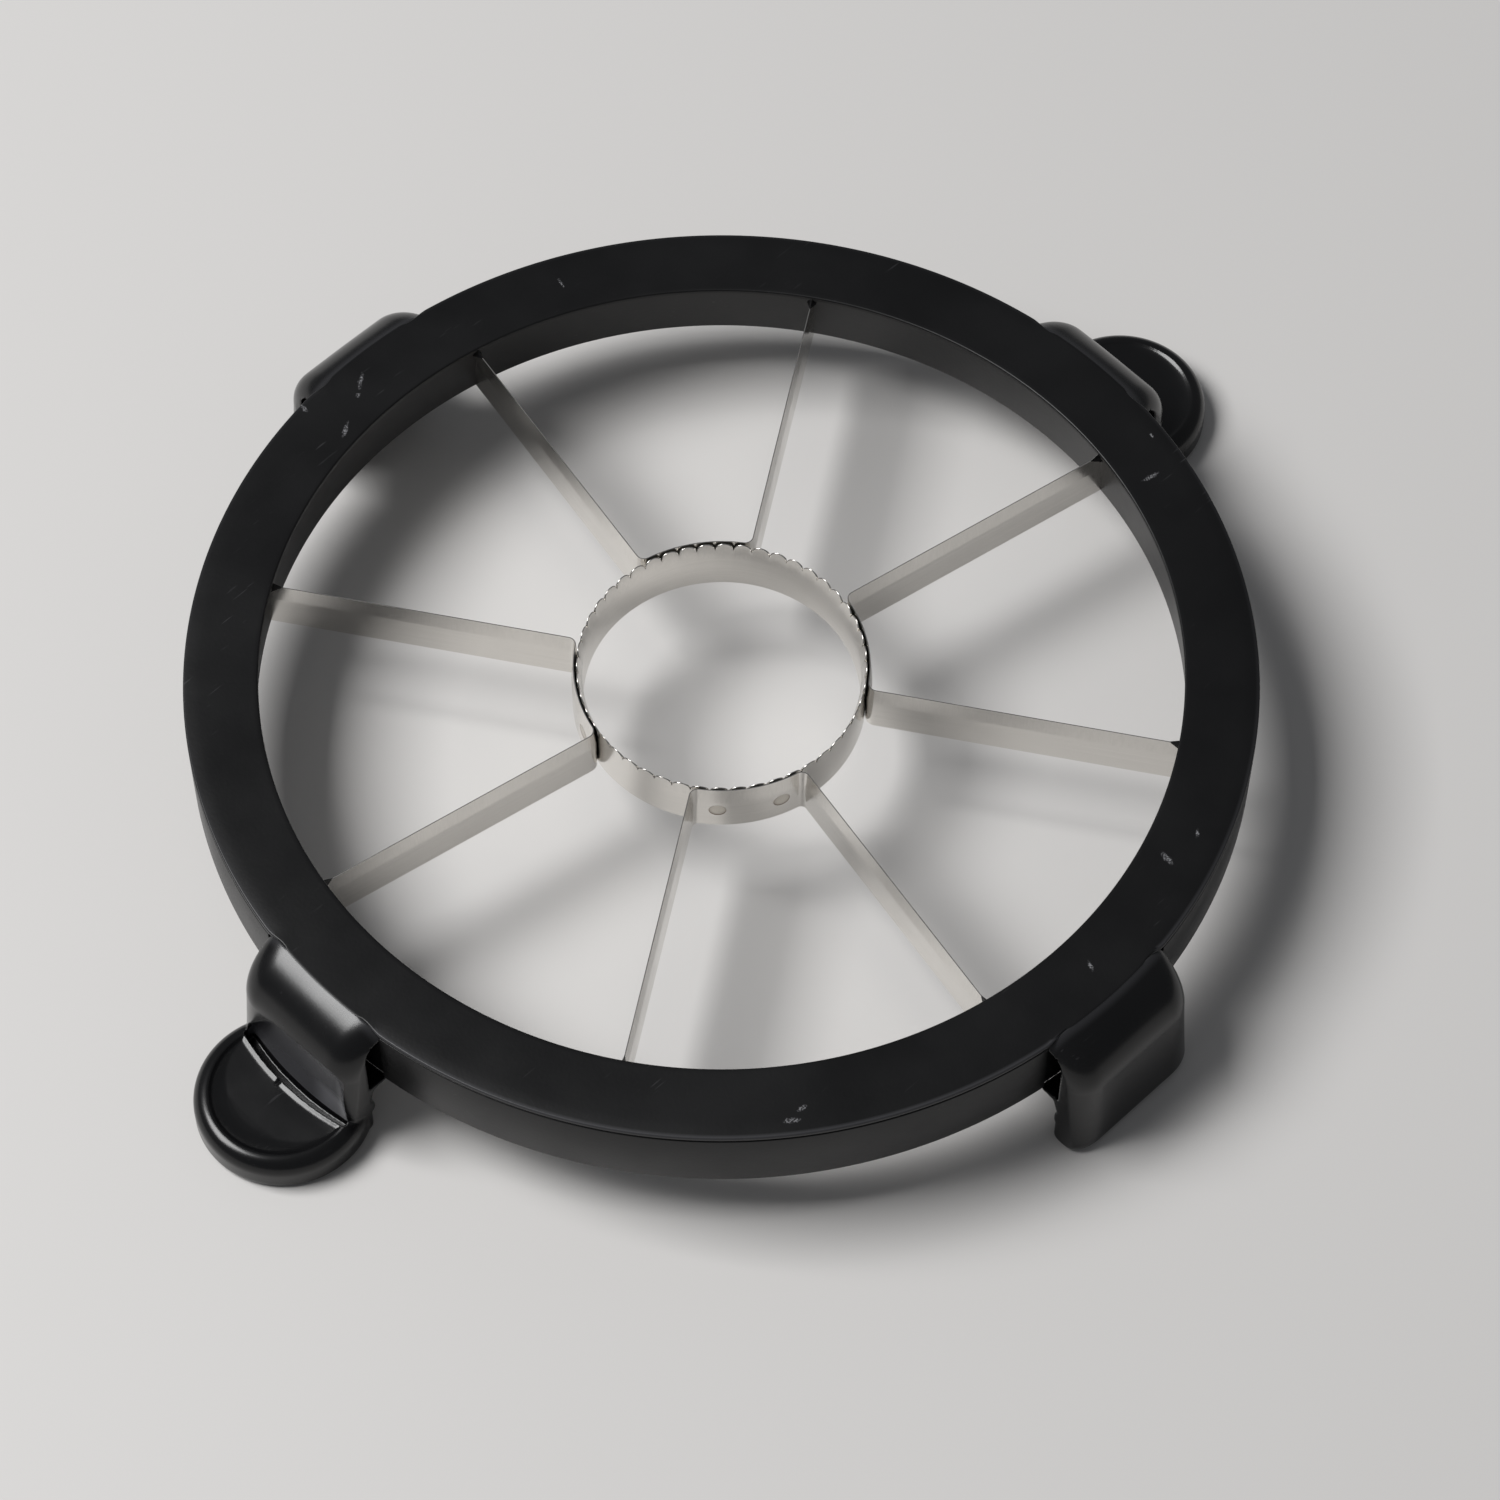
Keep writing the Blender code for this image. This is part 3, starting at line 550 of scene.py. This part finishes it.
def arm_outline(across, share, nub):
    """Closed outline of an arm at a distance across it: crest, leg, foot, nub, barb and root."""
    setback = SIDE_ROUND * share
    foot = setback * FOOT_LIFT_SHARE
    points = crest_line(across, share)
    start, start_height = points[0]
    outer = (LEG_FACE - setback * FOOT_SIDE_SHARE - FOOT_ROUND, foot + FOOT_ROUND)
    points += arc(outer, FOOT_ROUND, 0.0, -90.0, 9)
    points += arc((LEG_INNER + 0.8 * MM, foot + 0.8 * MM), 0.8 * MM, -90.0, -180.0, 5)
    for step in range(13):
        turn = math.pi * step / 12
        points.append((LEG_INNER - nub * math.sin(turn), NUB_MIDDLE - NUB_HEIGHT / 2.0 * math.cos(turn)))
    root = math.sqrt(ARM_ROOT ** 2 - across ** 2)
    tip = min(BARB_TIP, root - 1.0 * MM)
    points += [(LEG_INNER, BARB_TOP - BARB_HEIGHT), (LEG_INNER - 0.57 * MM, BARB_TOP - BARB_THICKNESS)]
    points += [(tip, BARB_TOP - BARB_THICKNESS / 2.0), (tip, BARB_TOP), (LEG_INNER, BARB_TOP)]
    for step in range(10):
        turn = math.pi / 2.0 * step / 9
        x = root + (LEG_INNER - root) * math.cos(turn)
        points.append((x, TOP - INNER_CREST + (INNER_CREST - ROOT_THICKNESS) * math.sin(turn)))
    points.append((start, start_height - 0.45 * MM))
    return [(x, across, z) for x, z in points]


def arm_stations():
    """Distances across an arm, each with the share of the side rounding there."""
    flat = ARM_HALF - SIDE_ROUND * math.sin(SIDE_SWING)
    side = []
    for step in range(1, 15):
        swing = SIDE_SWING * step / 14
        side.append((flat + SIDE_ROUND * math.sin(swing), 1.0 - math.cos(swing)))
    middle = [(flat * (2.0 * step / 24 - 1.0), 0.0) for step in range(25)]
    return [(-across, share) for across, share in reversed(side)] + middle + side


# %% [markdown]
# ## Thumb tabs
#
# Two arms end in a round tab with a shallow dish for the thumb. A thin ridge bows across it
# near the leg, and behind the ridge an arched scoop is cut into the leg. Plate, dish and scoop
# are simple closed solids, combined with Boolean modifiers, as a mould maker would cut them.

# %% Thumb tab
TAB_RADIUS = 9.2 * MM
TAB_CENTRE = 62.3 * MM
TAB_SHIFT = 0.3 * MM
TAB_LOW = 0.15 * MM
TAB_TOP = 4.25 * MM
TAB_FOOT_ROUND = 0.6 * MM
TAB_SIDE_LEAN = 1.6 * MM
TAB_SIDE_ROUND = 1.8 * MM
TAB_RIM = 1.65 * MM
TAB_BACK = 58.6 * MM
# The dish, level by level in millimetres: how deep, how far in from its rim, and how far out
# from the crest of the ridge
DISH_LEVELS = ((0.0, 0.0, 0.0), (0.06, 0.05, 0.13), (0.12, 0.12, 0.26), (0.18, 0.22, 0.39),
               (0.24, 0.36, 0.53), (0.28, 0.5, 1.3), (0.33, 0.7, 2.3), (0.38, 0.95, 3.2),
               (0.43, 1.3, 4.1), (0.48, 1.8, 5.0), (0.5, 2.3, 5.6))
BOW_RADIUS = 30.0 * MM
RIDGE_INNER = 61.75 * MM
RIDGE_LAND = 0.02 * MM
NOTCH_PLACE = -0.6 * MM
NOTCH_WIDTH = 0.4 * MM
NOTCH_DEPTH = 0.35 * MM
OVER = 0.5 * MM
TROUGH_WIDTH = 1.25 * MM
TROUGH_FLOOR = 2.2 * MM
SCOOP_DEPTH = 1.3 * MM
SCOOP_BACK = LEG_FACE - SCOOP_DEPTH
SCOOP_SHALLOW = 0.45 * MM
SCOOP_LEFT_END = 0.9 * MM
SCOOP_RIGHT_END = 1.8 * MM
ARCH_FOOT = 4.0 * MM
# Height of the arch over the scoop at places across the arm, in millimetres
ARCH = ((-7.3, 4.4), (-6.95, 5.6), (-6.3, 6.8), (-5.65, 7.85), (-4.3, 10.0), (-3.6, 11.0), (-2.8, 11.75),
        (-1.4, 12.2), (0.9, 12.5), (3.1, 12.8), (5.3, 13.1), (6.2, 13.0), (6.8, 12.7), (7.3, 11.9),
        (7.6, 10.6), (7.75, 8.5), (7.8, 5.2))


def spun(point, angle):
    """A place and its heading turned about Z."""
    x, y, heading = point
    cosine, sine = math.cos(angle), math.sin(angle)
    return (x * cosine - y * sine, x * sine + y * cosine, heading + angle)


def bowed(middle, across):
    """How far out a line lies that bows outward with the ridge."""
    return middle - BOW_RADIUS + math.sqrt(BOW_RADIUS ** 2 - across ** 2)


def tab_outline(radius, inner_middle, z):
    """Plan of the tab: its own circle, closed towards the leg by a bowed line."""
    bow = inner_middle - BOW_RADIUS
    apart = math.hypot(TAB_CENTRE - bow, TAB_SHIFT)
    along = (apart ** 2 + BOW_RADIUS ** 2 - radius ** 2) / (2.0 * apart)
    aside = math.sqrt(BOW_RADIUS ** 2 - along ** 2)
    lean = math.atan2(TAB_SHIFT, TAB_CENTRE - bow)
    ends = [spun((along, side, 0.0), lean) for side in (-aside, aside)]
    turns = [math.atan2(y - TAB_SHIFT, bow + x - TAB_CENTRE) for x, y, heading in ends]
    first, last = [math.degrees(turn) for turn in turns]
    points = arc((TAB_CENTRE, TAB_SHIFT), radius, first, last, 80)
    for step in range(1, 40):
        across = ends[1][1] + (ends[0][1] - ends[1][1]) * step / 40.0
        points.append((bowed(inner_middle, across), across))
    return [(x, y, z) for x, y in points]


def tab_plate():
    """Solid plate of the tab, with a small round at the foot and a side that leans in as it rises."""
    levels = []
    for step in range(5):
        swing = math.pi / 2.0 * step / 4
        inset = TAB_FOOT_ROUND * (1.0 - math.sin(swing))
        levels.append((inset, TAB_LOW + TAB_FOOT_ROUND * (1.0 - math.cos(swing))))
    for step in range(13):
        swing = math.pi / 2.0 * step / 12
        inset = TAB_SIDE_LEAN * (1.0 - math.cos(swing))
        levels.append((inset, TAB_TOP - TAB_SIDE_ROUND * (1.0 - math.sin(swing))))
    return skin("tab_plate", [tab_outline(TAB_RADIUS - inset, TAB_BACK, z) for inset, z in levels])


def tab_dish():
    """Cutter for the thumb dish, which rises to the crest of the ridge in a narrow slope."""
    rim = TAB_RADIUS - TAB_RIM
    crest = RIDGE_INNER + RIDGE_LAND
    sections = [tab_outline(rim + 0.3 * MM, RIDGE_INNER - 0.3 * MM, TAB_TOP + OVER)]
    for depth, inset, out in DISH_LEVELS:
        sections.append(tab_outline(rim - inset * MM, crest + out * MM, TAB_TOP - depth * MM))
    return skin("tab_dish", sections)


def ridge_notch():
    """Cutter for the small gap in the crest of the ridge."""
    inner = RIDGE_INNER - OVER
    outer = RIDGE_INNER + 0.7 * MM
    low = TAB_TOP - NOTCH_DEPTH
    high = TAB_TOP + OVER
    sections = []
    for across in (NOTCH_PLACE - NOTCH_WIDTH / 2.0, NOTCH_PLACE + NOTCH_WIDTH / 2.0):
        profile = [(inner, low), (outer, low), (outer, high), (inner, high)]
        sections.append([(x, across, z) for x, z in profile])
    return skin("ridge_notch", sections)


def arch_height(across):
    """Height of the arch over the scoop at a distance across the arm."""
    for (left, low), (right_end, high) in zip(ARCH, ARCH[1:]):
        if across <= right_end * MM:
            share = (across / MM - left) / (right_end - left)
            return (low + (high - low) * share) * MM
    return ARCH[-1][1] * MM


def scoop_profile(wall, outer, top):
    """Outline of the scoop's cutter at one place across the arm, from the trough to the arch and back."""
    foot = min(outer - TROUGH_WIDTH, wall + 0.9 * MM)
    rise = max(top - ARCH_FOOT, 0.8 * MM)
    bend = ARCH_FOOT + 0.5 * rise - TROUGH_FLOOR
    profile = [(foot, TROUGH_FLOOR)]
    for step in range(1, 8):
        lean = (1.0 - step / 7.0) ** 2
        profile.append((wall + (foot - wall) * lean, TROUGH_FLOOR + bend * step / 7.0))
    for share, out in ((0.65, 0.0), (0.78, 0.05), (0.88, 0.16), (0.95, 0.32)):
        profile.append((wall + out * MM, ARCH_FOOT + rise * share))
    clear = LEG_FACE + 1.2 * MM
    profile += [(LEG_FACE - 0.6 * MM, ARCH_FOOT + rise), (clear, ARCH_FOOT + rise + 1.2 * MM)]
    profile += [(clear, TAB_TOP + OVER), (outer, TAB_TOP + 0.2 * MM), (outer, TROUGH_FLOOR)]
    return profile


def tab_scoop():
    """Cutter for the arched scoop in the leg and the narrow trough behind the ridge."""
    first, last = ARCH[0][0] * MM, ARCH[-1][0] * MM
    sections = []
    for step in range(81):
        across = first + (last - first) * (0.5 - 0.5 * math.cos(math.pi * step / 80))
        left_end = min(1.0, max(0.0, (across - first) / SCOOP_LEFT_END))
        right_end = min(1.0, max(0.0, (last - across) / SCOOP_RIGHT_END))
        deep = math.sqrt(1.0 - (1.0 - left_end) ** 2) * math.sqrt(1.0 - (1.0 - right_end) ** 2)
        wall = LEG_FACE - SCOOP_SHALLOW - (SCOOP_DEPTH - SCOOP_SHALLOW) * deep
        profile = scoop_profile(wall, bowed(RIDGE_INNER, across), arch_height(across))
        sections.append([(x, across, z) for x, z in profile])
    return skin("tab_scoop", sections)


# %% [markdown]
# ## Moulded edges
#
# A moulding has no sharp outer edges. A voxel remesh gives the arm an even skin of small faces,
# and a few rounds of smoothing soften each edge by about a tenth of a millimetre. The root of an
# arm reaches a little under the lip of the lid, which hides the joint, as in one moulding.

# %% Arm pieces
VOXEL = 0.13 * MM
SMOOTHING = 3


def finished_arm(nub, tools):
    """Mesh of an arm with its tools applied and its edges softened."""
    arm = bpy.data.objects.new("arm", skin("arm", [arm_outline(a, s, nub) for a, s in arm_stations()]))
    bpy.context.scene.collection.objects.link(arm)
    holders = []
    for data, operation in tools:
        holder = bpy.data.objects.new(data.name, data)
        bpy.context.scene.collection.objects.link(holder)
        holders.append(holder)
        cut = arm.modifiers.new(data.name, "BOOLEAN")
        cut.operation = operation
        cut.solver = "EXACT"
        cut.object = holder
    remesh = arm.modifiers.new("even_skin", "REMESH")
    remesh.mode = "VOXEL"
    remesh.voxel_size = VOXEL
    soften = arm.modifiers.new("soft_edges", "SMOOTH")
    soften.iterations = SMOOTHING
    soften.factor = 0.5
    bpy.context.view_layer.update()
    done = bpy.data.meshes.new_from_object(arm.evaluated_get(bpy.context.evaluated_depsgraph_get()))
    for holder in [*holders, arm]:
        bpy.data.objects.remove(holder)
    done.shade_smooth()
    return done


def abraded_and_painted_light(data, has_tab):
    """Pale marks of an arm: abrasion with a painted highlight by the crease of the crest, and painted
    light in the scoop where it has a tab.
    """
    wear = data.attributes.new("wear", "FLOAT", "POINT")
    for vertex in data.vertices:
        x, y, z = vertex.co
        radius = math.hypot(x, y)
        # The crest by the crease is abraded, and its paler band is also a painted highlight.
        value = 0.12 * eased((CREASE + 1.1 * MM - radius) / (0.9 * MM)) if z > TOP - 1.5 * MM else 0.0
        # Painted light: the back wall of the scoop is painted paler as if lit, most at one lower corner,
        # where some real abrasion adds to it.
        if has_tab and abs(y) < 7.4 * MM and SCOOP_BACK - 0.1 * MM < x < SCOOP_BACK + 0.7 * MM:
            if 3.0 * MM < z < arch_height(y) - 0.3 * MM:
                corner = eased((y - 2.0 * MM) / (3.0 * MM)) * eased((7.5 * MM - z) / (2.0 * MM))
                value = 0.35 + 0.5 * corner
        wear.data[vertex.index].value = value
    return data


plain = finished_arm(0.25 * MM, [])
TAB_TOOLS = [(tab_plate(), "UNION"), (tab_dish(), "DIFFERENCE"), (tab_scoop(), "DIFFERENCE"),
             (ridge_notch(), "DIFFERENCE")]
tabbed = finished_arm(0.5 * MM, TAB_TOOLS)
ARM_BODIES = {"latch_arm_right": "latch_right", "hook_arm_rear": "hook_rear",
              "latch_arm_left": "latch_left", "hook_arm_front": "hook_front"}
for name, degrees in ARM_ANGLES.items():
    has_tab = name.startswith("latch")
    data = abraded_and_painted_light((tabbed if has_tab else plain).copy(), has_tab)
    data.transform(Matrix.Rotation(math.radians(degrees), 4, "Z"))
    show("moulded_" + name, data, ARM_BODIES[name], "arm_plastic", arm_plastic, name)
print("arm faces:", len(plain.polygons), "plain,", len(tabbed.polygons), "with a tab")

# %% [markdown]
# ## Blade strips
#
# Four strips of half-millimetre steel. Each runs in from the ring as one blade, bends round an
# eighth of the core ring and runs out as the next. A curve with a bevel could follow the bends,
# but a swept section keeps the ground upper edge level and the line where it starts crisp.

# %% Blade strips
FIRST_BLADE = math.radians(-55.7)
SPACING = math.radians(45.0)
STRIP_THICKNESS = 0.5 * MM
CORE_OUTER = 15.2 * MM
SEAT_GAP = 0.03 * MM
BEND_RADIUS = 0.9 * MM
TIP = 0.1 * MM
BLADE_REACH = RING_INNER + 3.0 * MM


def strip_line(first):
    """Plan of one strip as (x, y, heading): blade, bend, wrap, bend, blade."""
    wrap = CORE_OUTER + SEAT_GAP + STRIP_THICKNESS / 2.0
    bend_centre = wrap + BEND_RADIUS
    turn = math.asin(BEND_RADIUS / bend_centre)
    straight = bend_centre * math.cos(turn)
    half = [(straight + (BLADE_REACH - straight) * (1.0 - step / 24), 0.0, math.pi) for step in range(25)]
    for step in range(1, 13):
        swing = (math.pi / 2.0 - turn) * step / 12
        x = straight - BEND_RADIUS * math.sin(swing)
        half.append((x, BEND_RADIUS * (1.0 - math.cos(swing)), math.pi - swing))
    line = [spun(point, first) for point in half]
    for step in range(1, 24):
        angle = first + turn + (SPACING - 2.0 * turn) * step / 24
        line.append((wrap * math.cos(angle), wrap * math.sin(angle), angle + math.pi / 2.0))
    line += [spun((x, -y, math.pi - heading), first + SPACING) for x, y, heading in reversed(half)]
    return line


def strip_mesh(number):
    """One strip with rolled lower corners and a ground upper edge."""
    half = STRIP_THICKNESS / 2.0
    grind = EDGE_TOP - BLADE_GRIND
    corner = 0.07 * MM
    foot = BLADE_LOW + corner
    outline = [(-half + corner, BLADE_LOW), (half - corner, BLADE_LOW), (half, foot), (half, grind)]
    outline += [(TIP / 2.0, EDGE_TOP), (-TIP / 2.0, EDGE_TOP), (-half, grind), (-half, foot)]
    sections = []
    for x, y, heading in strip_line(FIRST_BLADE + 2.0 * number * SPACING):
        side = (-math.sin(heading), math.cos(heading))
        sections.append([(x + off * side[0], y + off * side[1], z) for off, z in outline])
    return skin("blade_strip_%d_fine" % (number + 1), sections, creases=(3, 6))


for number in range(4):
    name = "blade_strip_%d" % (number + 1)
    show("ground_" + name, strip_mesh(number), "frame", "blade_steel", blade_steel, name)
print("strip path points:", len(strip_line(FIRST_BLADE)))

# %% [markdown]
# ## Serrated core ring
#
# The core ring is a thin band whose upper edge is cut into 48 rounded teeth and ground thin on
# the inside. Cutting them from a band with Booleans would be slow and rough. One tooth is modelled
# finely instead, and Geometry Nodes repeat it round the circle and merge the joins.

# %% One tooth
LOBES = 48
LOBE_DEPTH = 0.8 * MM
CORE_THICKNESS = 0.6 * MM


def tooth_mesh():
    """One tooth of the core ring, standing at the start of the turn."""
    inner = CORE_OUTER - CORE_THICKNESS
    foot = EDGE_TOP - CORE_GRIND
    slope = (CORE_THICKNESS - 0.12 * MM) / CORE_GRIND
    sections = []
    for step in range(17):
        across = 2.0 * step / 16 - 1.0
        top = EDGE_TOP - LOBE_DEPTH * (1.0 - math.sqrt(max(0.0, 1.0 - across * across)))
        edge = inner + (top - foot) * slope
        round_edge = (CORE_OUTER - edge) / 2.0
        shoulder = top - round_edge - 0.03 * MM
        profile = [(inner, BLADE_LOW), (CORE_OUTER, BLADE_LOW), (CORE_OUTER, shoulder)]
        profile += arc((CORE_OUTER - round_edge, top - round_edge), round_edge, 0.0, 165.0, 8)
        end, end_height = profile[-1]
        profile += [(end + (inner - end) * 0.02, end_height + (foot - end_height) * 0.02), (inner, foot)]
        sections.append(around(profile, math.pi * across / LOBES))
    data = skin("core_tooth", sections)
    work = bmesh.new()
    work.from_mesh(data)
    ends = [face for face in work.faces if len(face.verts) > 4]
    bmesh.ops.delete(work, geom=ends, context="FACES")
    work.to_mesh(data)
    work.free()
    return data


def repeated(name, data, count, material, merge):
    """The mesh repeated evenly round Z by a Geometry Nodes tree, made into a plain mesh."""
    piece = bpy.data.objects.new(name + "_source", data)
    bpy.context.scene.collection.objects.link(piece)
    tree = bpy.data.node_groups.new(name + "_tree", "GeometryNodeTree")
    tree.interface.new_socket("Geometry", in_out="INPUT", socket_type="NodeSocketGeometry")
    tree.interface.new_socket("Piece", in_out="INPUT", socket_type="NodeSocketObject")
    tree.interface.new_socket("Count", in_out="INPUT", socket_type="NodeSocketInt")
    tree.interface.new_socket("Finish", in_out="INPUT", socket_type="NodeSocketMaterial")
    tree.interface.new_socket("Merge", in_out="INPUT", socket_type="NodeSocketFloat")
    tree.interface.new_socket("Geometry", in_out="OUTPUT", socket_type="NodeSocketGeometry")
    given = add(tree, "NodeGroupInput").outputs
    source = add(tree, "GeometryNodeObjectInfo", {"transform_space": "ORIGINAL"},
                 {"Object": given["Piece"]}).outputs["Geometry"]
    places = add(tree, "GeometryNodePoints", links={"Count": given["Count"]})
    index = add(tree, "GeometryNodeInputIndex").outputs[0]
    share = add(tree, "ShaderNodeMath", {"operation": "DIVIDE"}, {0: index, 1: given["Count"]})
    angle = add(tree, "ShaderNodeMath", {"operation": "MULTIPLY"},
                {0: share.outputs[0], 1: 2.0 * math.pi})
    turn = add(tree, "ShaderNodeCombineXYZ", links={"Z": angle.outputs[0]})
    copies = add(tree, "GeometryNodeInstanceOnPoints",
                 links={"Points": places.outputs[0], "Instance": source, "Rotation": turn.outputs[0]})
    real = add(tree, "GeometryNodeRealizeInstances", links={0: copies.outputs[0]})
    joined = add(tree, "GeometryNodeMergeByDistance",
                 links={0: real.outputs[0], "Distance": given["Merge"]})
    finished = add(tree, "GeometryNodeSetMaterial",
                   links={0: joined.outputs[0], "Material": given["Finish"]})
    add(tree, "NodeGroupOutput", links={0: finished.outputs[0]})
    holder = bpy.data.objects.new(name + "_holder", bpy.data.meshes.new(name + "_holder"))
    bpy.context.scene.collection.objects.link(holder)
    modifier = holder.modifiers.new("repeat", "NODES")
    modifier.node_group = tree
    values = {"Piece": piece, "Count": count, "Finish": material, "Merge": merge}
    for item in tree.interface.items_tree:
        if item.in_out == "INPUT" and item.name in values:
            modifier[item.identifier] = values[item.name]
    bpy.context.view_layer.update()
    done = bpy.data.meshes.new_from_object(holder.evaluated_get(bpy.context.evaluated_depsgraph_get()))
    bpy.data.objects.remove(holder)
    bpy.data.objects.remove(piece)
    return done


# %% Core ring
core = repeated("core_ring_fine", tooth_mesh(), LOBES, core_steel, 0.01 * MM)
core.shade_smooth()
core.set_sharp_from_angle(angle=math.radians(25.0))
show("serrated_core_ring", core, "frame", "core_steel", core_steel, "core_ring")
print("core ring faces:", len(core.polygons))

# %% [markdown]
# ## Spot welds
#
# Two resistance welds hold each wrap to the core ring. The electrode leaves a round, slightly
# sunk mark with a low collar, brown on its lower half and fading to none at its top. One pair is
# modelled on a wrap, and Geometry Nodes repeat the pair for the four strips.

# %% Spot welds
WELD_RADIUS = 0.95 * MM
WELD_HEIGHT = 12.9 * MM
WELD_SWING = math.radians(12.4)
WRAP_FACE = CORE_OUTER + SEAT_GAP + STRIP_THICKNESS
# Section of a weld, out over its collar and back inside the steel: share of its radius, and height
# over the strip in millimetres
WELD_PROFILE = ((0.0, 0.002), (0.5, 0.002), (0.82, 0.003), (0.88, 0.01), (0.93, 0.014), (0.97, 0.008),
                (1.0, -0.02), (0.0, -0.02))
WELD_STEPS = 32


def weld_pair(middle):
    """Two weld marks on a wrap, either side of its middle, with the brown of the lower collar as an
    attribute.
    """
    points = []
    faces = []
    collar_browns = []
    for swing in (-WELD_SWING, WELD_SWING):
        for ring_number, (share, height) in enumerate(WELD_PROFILE):
            for step in range(WELD_STEPS):
                turn = 2.0 * math.pi * step / WELD_STEPS
                angle = middle + swing + WELD_RADIUS * share * math.cos(turn) / WRAP_FACE
                reach = WRAP_FACE + height * MM
                z = WELD_HEIGHT + WELD_RADIUS * share * math.sin(turn)
                points.append((reach * math.cos(angle), reach * math.sin(angle), z))
                # Brown only on the collar, strongest at its bottom and none at its top.
                collar_browns.append(eased((share - 0.78) / 0.1) * (0.5 - 0.5 * math.sin(turn)))
                if ring_number:
                    here = len(points) - 1
                    beside = here - step + (step + 1) % WELD_STEPS
                    faces.append((here - WELD_STEPS, here, beside, beside - WELD_STEPS))
    data = bpy.data.meshes.new("weld_pair")
    data.from_pydata(points, [], faces)
    tint = data.attributes.new("tint", "FLOAT", "POINT")
    tint.data.foreach_set("value", collar_browns)
    data.shade_smooth()
    return data


weld_steel, weld_shader = new_material("heat_tinted_stainless")
weld_tree = weld_steel.node_tree
weld_collar_brown = add(weld_tree, "ShaderNodeAttribute", {"attribute_name": "tint"}).outputs["Fac"]
weld_tone = add(weld_tree, "ShaderNodeMix", {"data_type": "RGBA"},
                {0: weld_collar_brown, 6: linear("#c9c4bb"), 7: linear("#5b4634")})
weld_tree.links.new(weld_tone.outputs[2], weld_shader.inputs["Base Color"])
weld_shader.inputs["Metallic"].default_value = 1.0
weld_shader.inputs["Roughness"].default_value = 0.32
welds = repeated("weld_marks", weld_pair(FIRST_BLADE + SPACING / 2.0), 4, weld_steel, 0.001 * MM)
show("spot_welds", welds, "frame", "blade_steel", weld_steel)
print("weld faces:", len(welds.polygons))

# %% [markdown]
# ## Flash at the blades
#
# Where a blade enters the moulding, a little plastic has crept along its edge and stands as a
# dark peak on the inner rim. One peak is lofted, and Geometry Nodes repeat it for the blades.

# %% Flash
FLASH_WIDTH = 1.0 * MM
FLASH_REACH = 1.0 * MM
FLASH_ROOT = 0.3 * MM


def flash_peak():
    """A peak of plastic that creeps inward along the upper edge of a blade."""
    sections = []
    for step in range(9):
        share = step / 8.0
        reach = RING_INNER + FLASH_ROOT - (FLASH_ROOT + FLASH_REACH) * share
        half = FLASH_WIDTH / 2.0 * (1.0 - share) ** 1.2 + 0.03 * MM
        high = TOP - 0.12 * MM - (TOP - EDGE_TOP - 0.14 * MM) * share
        low = EDGE_TOP - 0.5 * MM * (1.0 - share) - 0.05 * MM
        profile = [(-half, low), (half, low), (half * 0.6, (low + high) / 2.0), (0.02 * MM, high)]
        profile += [(-0.02 * MM, high), (-half * 0.6, (low + high) / 2.0)]
        section = []
        for across, z in profile:
            x, y, heading = spun((reach, across, 0.0), FIRST_BLADE)
            section.append((x, y, z))
        sections.append(section)
    return skin("flash_peak", sections)


flash = repeated("blade_flash", flash_peak(), 8, ring_plastic, 0.0)
show("blade_flash", flash, "frame", "cover_plastic", ring_plastic)
print("flash faces:", len(flash.polygons))
